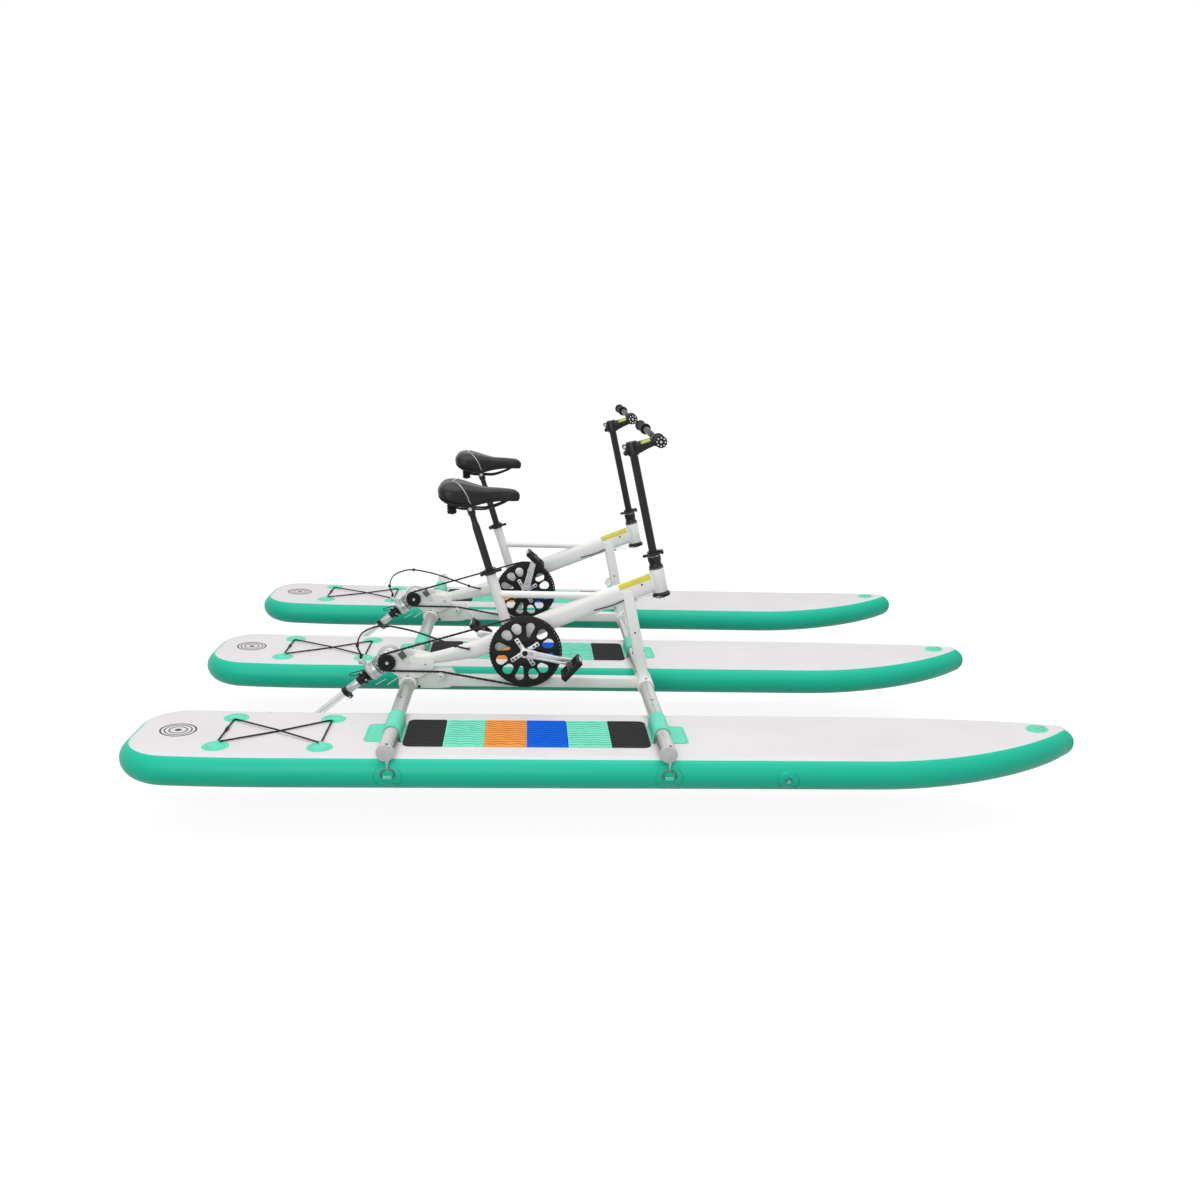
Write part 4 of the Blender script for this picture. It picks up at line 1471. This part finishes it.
def add_leg(put):
    """The swivel leg with its pulley, clamp ring, foot and skeg, and the propeller."""
    pulley = mm((0, -92.3), (15, -92.3), (15, -98.6), (24, -99.4), (25, -100.4), (25, -103.6), (24.2, -104.6),
                (20.5, -106.2), (19.8, -108.5), (19.8, -113.7), (20.5, -116), (24.2, -117.6), (25, -118.4),
                (25, -121.4), (24.2, -122.4), (18.5, -124), (18.5, -139), (17.8, -140), (0, -140))
    ring = mm((0, -190.5), (19.2, -190.5), (20, -191.5), (20, -206.2), (19.2, -207), (0, -207))
    put("leg_pulley", "drive_leg", "anodised", turned(pulley, on_leg(0), 48), turned(ring, on_leg(0), 48),
        block((0.014, 0.018, 0.0135), on_leg(0.1988, 0.0215), 0.002, 3))
    skeg = mm((34, 0), (-20, 0), (-28.5, -66), (-29.5, -72.5), (-27, -76.5), (-22, -78), (-14, -77),
              (-9, -72))
    put("leg_sleeve", "drive_leg", "cast",
        turned(mm((0, -140), (14.6, -140), (15, -140.6), (15, -189.8), (14.6, -190.5), (0, -190.5)),
               on_leg(0), 40), turned(mm((0, 68), (4.5, 67.2), (10, 64), (15.5, 58.2), (19, 52), (22.8, 42),
                                         (25.2, 34), (26, 28), (26, 11.5), (25.4, 10.5), (25.4, 8.5),
                                         (26, 7.5), (26, -8), (25, -18), (22.5, -31), (19.5, -40),
                                         (18, -45.5), (17, -46), (0, -46)), along(FOOT, (1, 0, 0)), 48),
        flat([[(FOOT.x + x, FOOT.z + z) for x, z in skeg]], 0.005, upright(0), 0.0016, 3),
        stands_for=["drive_leg"])
    put("leg_tube", "drive_leg", "polished", rod(leg_point(0.207), leg_point(0.452), 0.0125))
    leg_bolts = [bolt(on_leg(0.111, 0.0198 * math.cos(a), 0.0198 * math.sin(a)) @ Matrix.Rotation(a, 4, "Z")
                      @ spin(90, "Y"), 0.004, 0.0036) for a in (math.radians(200), math.radians(290))]
    leg_bolts.append(bolt(on_leg(0.1988, 0.0215, -0.0088) @ spin(90, "X"), 0.0034, 0.0028))
    leg_bolts += [bolt(along(FOOT + Vector((0.01 * k, -0.0257, 0.004)), -SIDE), 0.0028, 0.0016)
                  for k in (-1, 2)]
    put("leg_bolts", "drive_leg", "stainless", *leg_bolts)
    front = FOOT - Vector((0.0465, 0, 0))
    hub_place = along(front, (-1, 0, 0))
    put("propeller_blades", "propeller", "nylon",
        turned(mm((0, 40), (3, 39.8), (6, 38.5), (9.2, 35), (12.2, 29), (14.6, 21), (16, 11), (16.5, 1),
                  (15.8, 0), (0, 0)), hub_place, 40),
        *[blade(k * 2 * math.pi / 3, Matrix.Translation(front - Vector((0.018, 0, 0)))) for k in range(3)],
        stands_for=["propeller"])


def add_cables(put, p, y):
    """Two sheathed steering cables tied together, that bend where the housing tilts, and the bare wires."""
    middle = [Vector(c) for c in CABLES]
    offsets = []
    for i in range(len(middle)):
        run = (middle[min(i + 1, len(middle) - 1)] - middle[max(i - 1, 0)]).normalized()
        offsets.append(SIDE.cross(run).cross(run).normalized() * -0.0031)
    lines = [pipe(smooth_line([m + s * o for m, o in zip(middle, offsets)], 8), 0.0025, sides=3)
             for s in (-1, 1)]
    ties = []
    for i in (2, 5, 8):
        run = (middle[i + 1] - middle[i - 1]).normalized()
        ties.append(rod(middle[i] - run * 0.005, middle[i] + run * 0.005, 0.0062, 0.001, 20))
    for shape in (*lines, *ties):
        shape.transform(at(0, y, 0))
    tied = piece(f"{p}_cable_pair", None, "cable", *lines, *ties, stands_for=[f"{p}_steering_cables"])
    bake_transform(tied)
    # Two taut wires from the pulley under the head back into the strut's front face
    under = head_point(-0.008)
    for side, word in ((-1, "right"), (1, "left")):
        start = under + SIDE * (side * 0.0287)
        end = Vector((0.0985, side * 0.012, 0.436))
        run = (start - end).normalized()
        put(f"pulley_wire_{word}", ROOT, "stainless", pipe([start, end], 0.001),
            rod(end, end + run * 0.007, 0.003))
    pin = head_point(-0.0195)
    put("pulley_pin", "steering_column", "stainless",
        pipe([pin + Vector(p) for p in mm((-9, 0, -10), (-2, 0, 0), (3, 0, 1), (7, 0, -2), (9, 0, -12))],
             0.0011))
    # The sheath that leaves the beam's lower right edge and goes into the strut
    lower = smooth_line(mm((-53, -15, 401), (-43, -22.5, 405), (-20, -24.2, 412.5), (4, -24.2, 419.5),
                           (30, -24.2, 430), (50.5, -23.6, 439.7), (62, -18, 445)), 6)
    put("beam_cable", ROOT, "cable", pipe(lower, 0.0021, sides=3))


def add_bike(p, y):
    """One pedal frame with everything on it."""
    shift = at(0, y, 0)
    crank_angle = CRANK_ANGLE[p]

    def put(name, body, finish_name, *shapes, **options):
        for shape in shapes:
            shape.transform(shift)
        if body != ROOT:
            body = f"{p}_{body}"
        stands_for = [f"{p}_{node}" for node in options.pop("stands_for", ())]
        return piece(f"{p}_{name}", body, finish_name, *shapes, stands_for=stands_for, **options)

    add_frame(put)
    add_column(put)
    add_handlebar(put)
    add_seat(put)
    add_saddle(put)
    add_crank(put, crank_angle)
    add_pedals(put, crank_angle, PEDAL_TILTS[p])
    add_chain(put)
    add_gearbox(put)
    add_leg(put)
    add_cables(put, p, y)


for hand, offset in (("right", -0.5), ("left", 0.5)):
    add_bike(f"{hand}_bike", offset * FLOAT_SPACING)


# ---- Stage, lights and camera ----

# The floor lies just under the skegs
FLOOR_Z = -0.1645


def seen_directly(tree):
    """1 for a ray from the camera, a mirror or a clear body, and 0 for the light that falls on things."""
    path = add(tree, "LightPath").outputs
    seen = add(tree, "Math", {0: path["Is Camera Ray"], 1: path["Is Glossy Ray"]}, operation="ADD")
    return add(tree, "Math", {0: seen.outputs[0], 1: path["Is Transmission Ray"]}, operation="ADD").outputs[0]


floor_mesh = bpy.data.meshes.new("floor")
floor_shape = bmesh.new()
bmesh.ops.create_grid(floor_shape, x_segments=1, y_segments=1, size=60.0)
bmesh.ops.translate(floor_shape, vec=(0, 0, FLOOR_Z), verts=floor_shape.verts)
floor_shape.to_mesh(floor_mesh)
floor_shape.free()
floor = bpy.data.objects.new("floor", floor_mesh)
bpy.context.scene.collection.objects.link(floor)
# White for the camera and in reflections, with the object's soft shadow kept by the diffuse share
paper = bpy.data.materials.new("studio_floor")
paper.use_nodes = True
tree = paper.node_tree
tree.nodes.clear()
level = add(tree, "Math", {0: seen_directly(tree), 1: 0.87}, operation="MULTIPLY")
glow = add(tree, "Emission", {"Color": linear("FFFFFF"), "Strength": level.outputs[0]})
matt = add(tree, "BsdfDiffuse", {"Color": (0.26, 0.26, 0.26, 1.0)})
both = add(tree, "AddShader", {0: glow.outputs[0], 1: matt.outputs[0]})
add(tree, "OutputMaterial", {"Surface": both.outputs[0]})
floor.data.materials.append(paper)

world = bpy.data.worlds.new("studio")
bpy.context.scene.world = world
world.use_nodes = True
tree = world.node_tree
tree.nodes.clear()
level = add(tree, "MapRange", {"Value": seen_directly(tree), "To Min": 0.52, "To Max": 1.0})
sky = add(tree, "Background", {"Color": linear("FFFFFF"), "Strength": level.outputs["Result"]})
add(tree, "OutputWorld", {"Surface": sky.outputs[0]})


def lamp(name, place, aim, size, watts):
    """A soft square lamp."""
    data = bpy.data.lights.new(name, "AREA")
    data.size = size
    data.energy = watts
    obj = bpy.data.objects.new(name, data)
    obj.location = place
    obj.rotation_mode = "QUATERNION"
    obj.rotation_quaternion = (Vector(aim) - Vector(place)).to_track_quat("-Z", "Y")
    bpy.context.scene.collection.objects.link(obj)


lamp("overhead", (0.0, -0.4, 5.0), (0, 0, 0), 5.0, 150)
lamp("front", (-1.5, -6.0, 2.6), (0, 0, 0.2), 3.0, 105)

# The photograph's view: turned 4.3 degrees right of square on, 13.9 degrees down, and rolled 2.0 degrees
YAW = math.radians(4.33)
LOOK_DOWN = math.radians(13.9)
ROLL = math.radians(2.0)
forward = Vector((math.sin(YAW) * math.cos(LOOK_DOWN), math.cos(YAW) * math.cos(LOOK_DOWN),
                  -math.sin(LOOK_DOWN)))
level_right = Vector((math.cos(YAW), -math.sin(YAW), 0.0))
level_up = level_right.cross(forward)
right = level_right * math.cos(ROLL) + level_up * math.sin(ROLL)
up = level_up * math.cos(ROLL) - level_right * math.sin(ROLL)
camera_data = bpy.data.cameras.new("camera")
camera_data.lens = 31.9
camera_data.sensor_width = 36.0
camera_data.clip_end = 200.0
camera = bpy.data.objects.new("camera", camera_data)
camera.matrix_world = at(-0.304, -4.121, 1.345) @ Matrix((right, up, -forward)).transposed().to_4x4()
bpy.context.scene.collection.objects.link(camera)
bpy.context.scene.camera = camera
bpy.context.scene.view_settings.view_transform = "Standard"
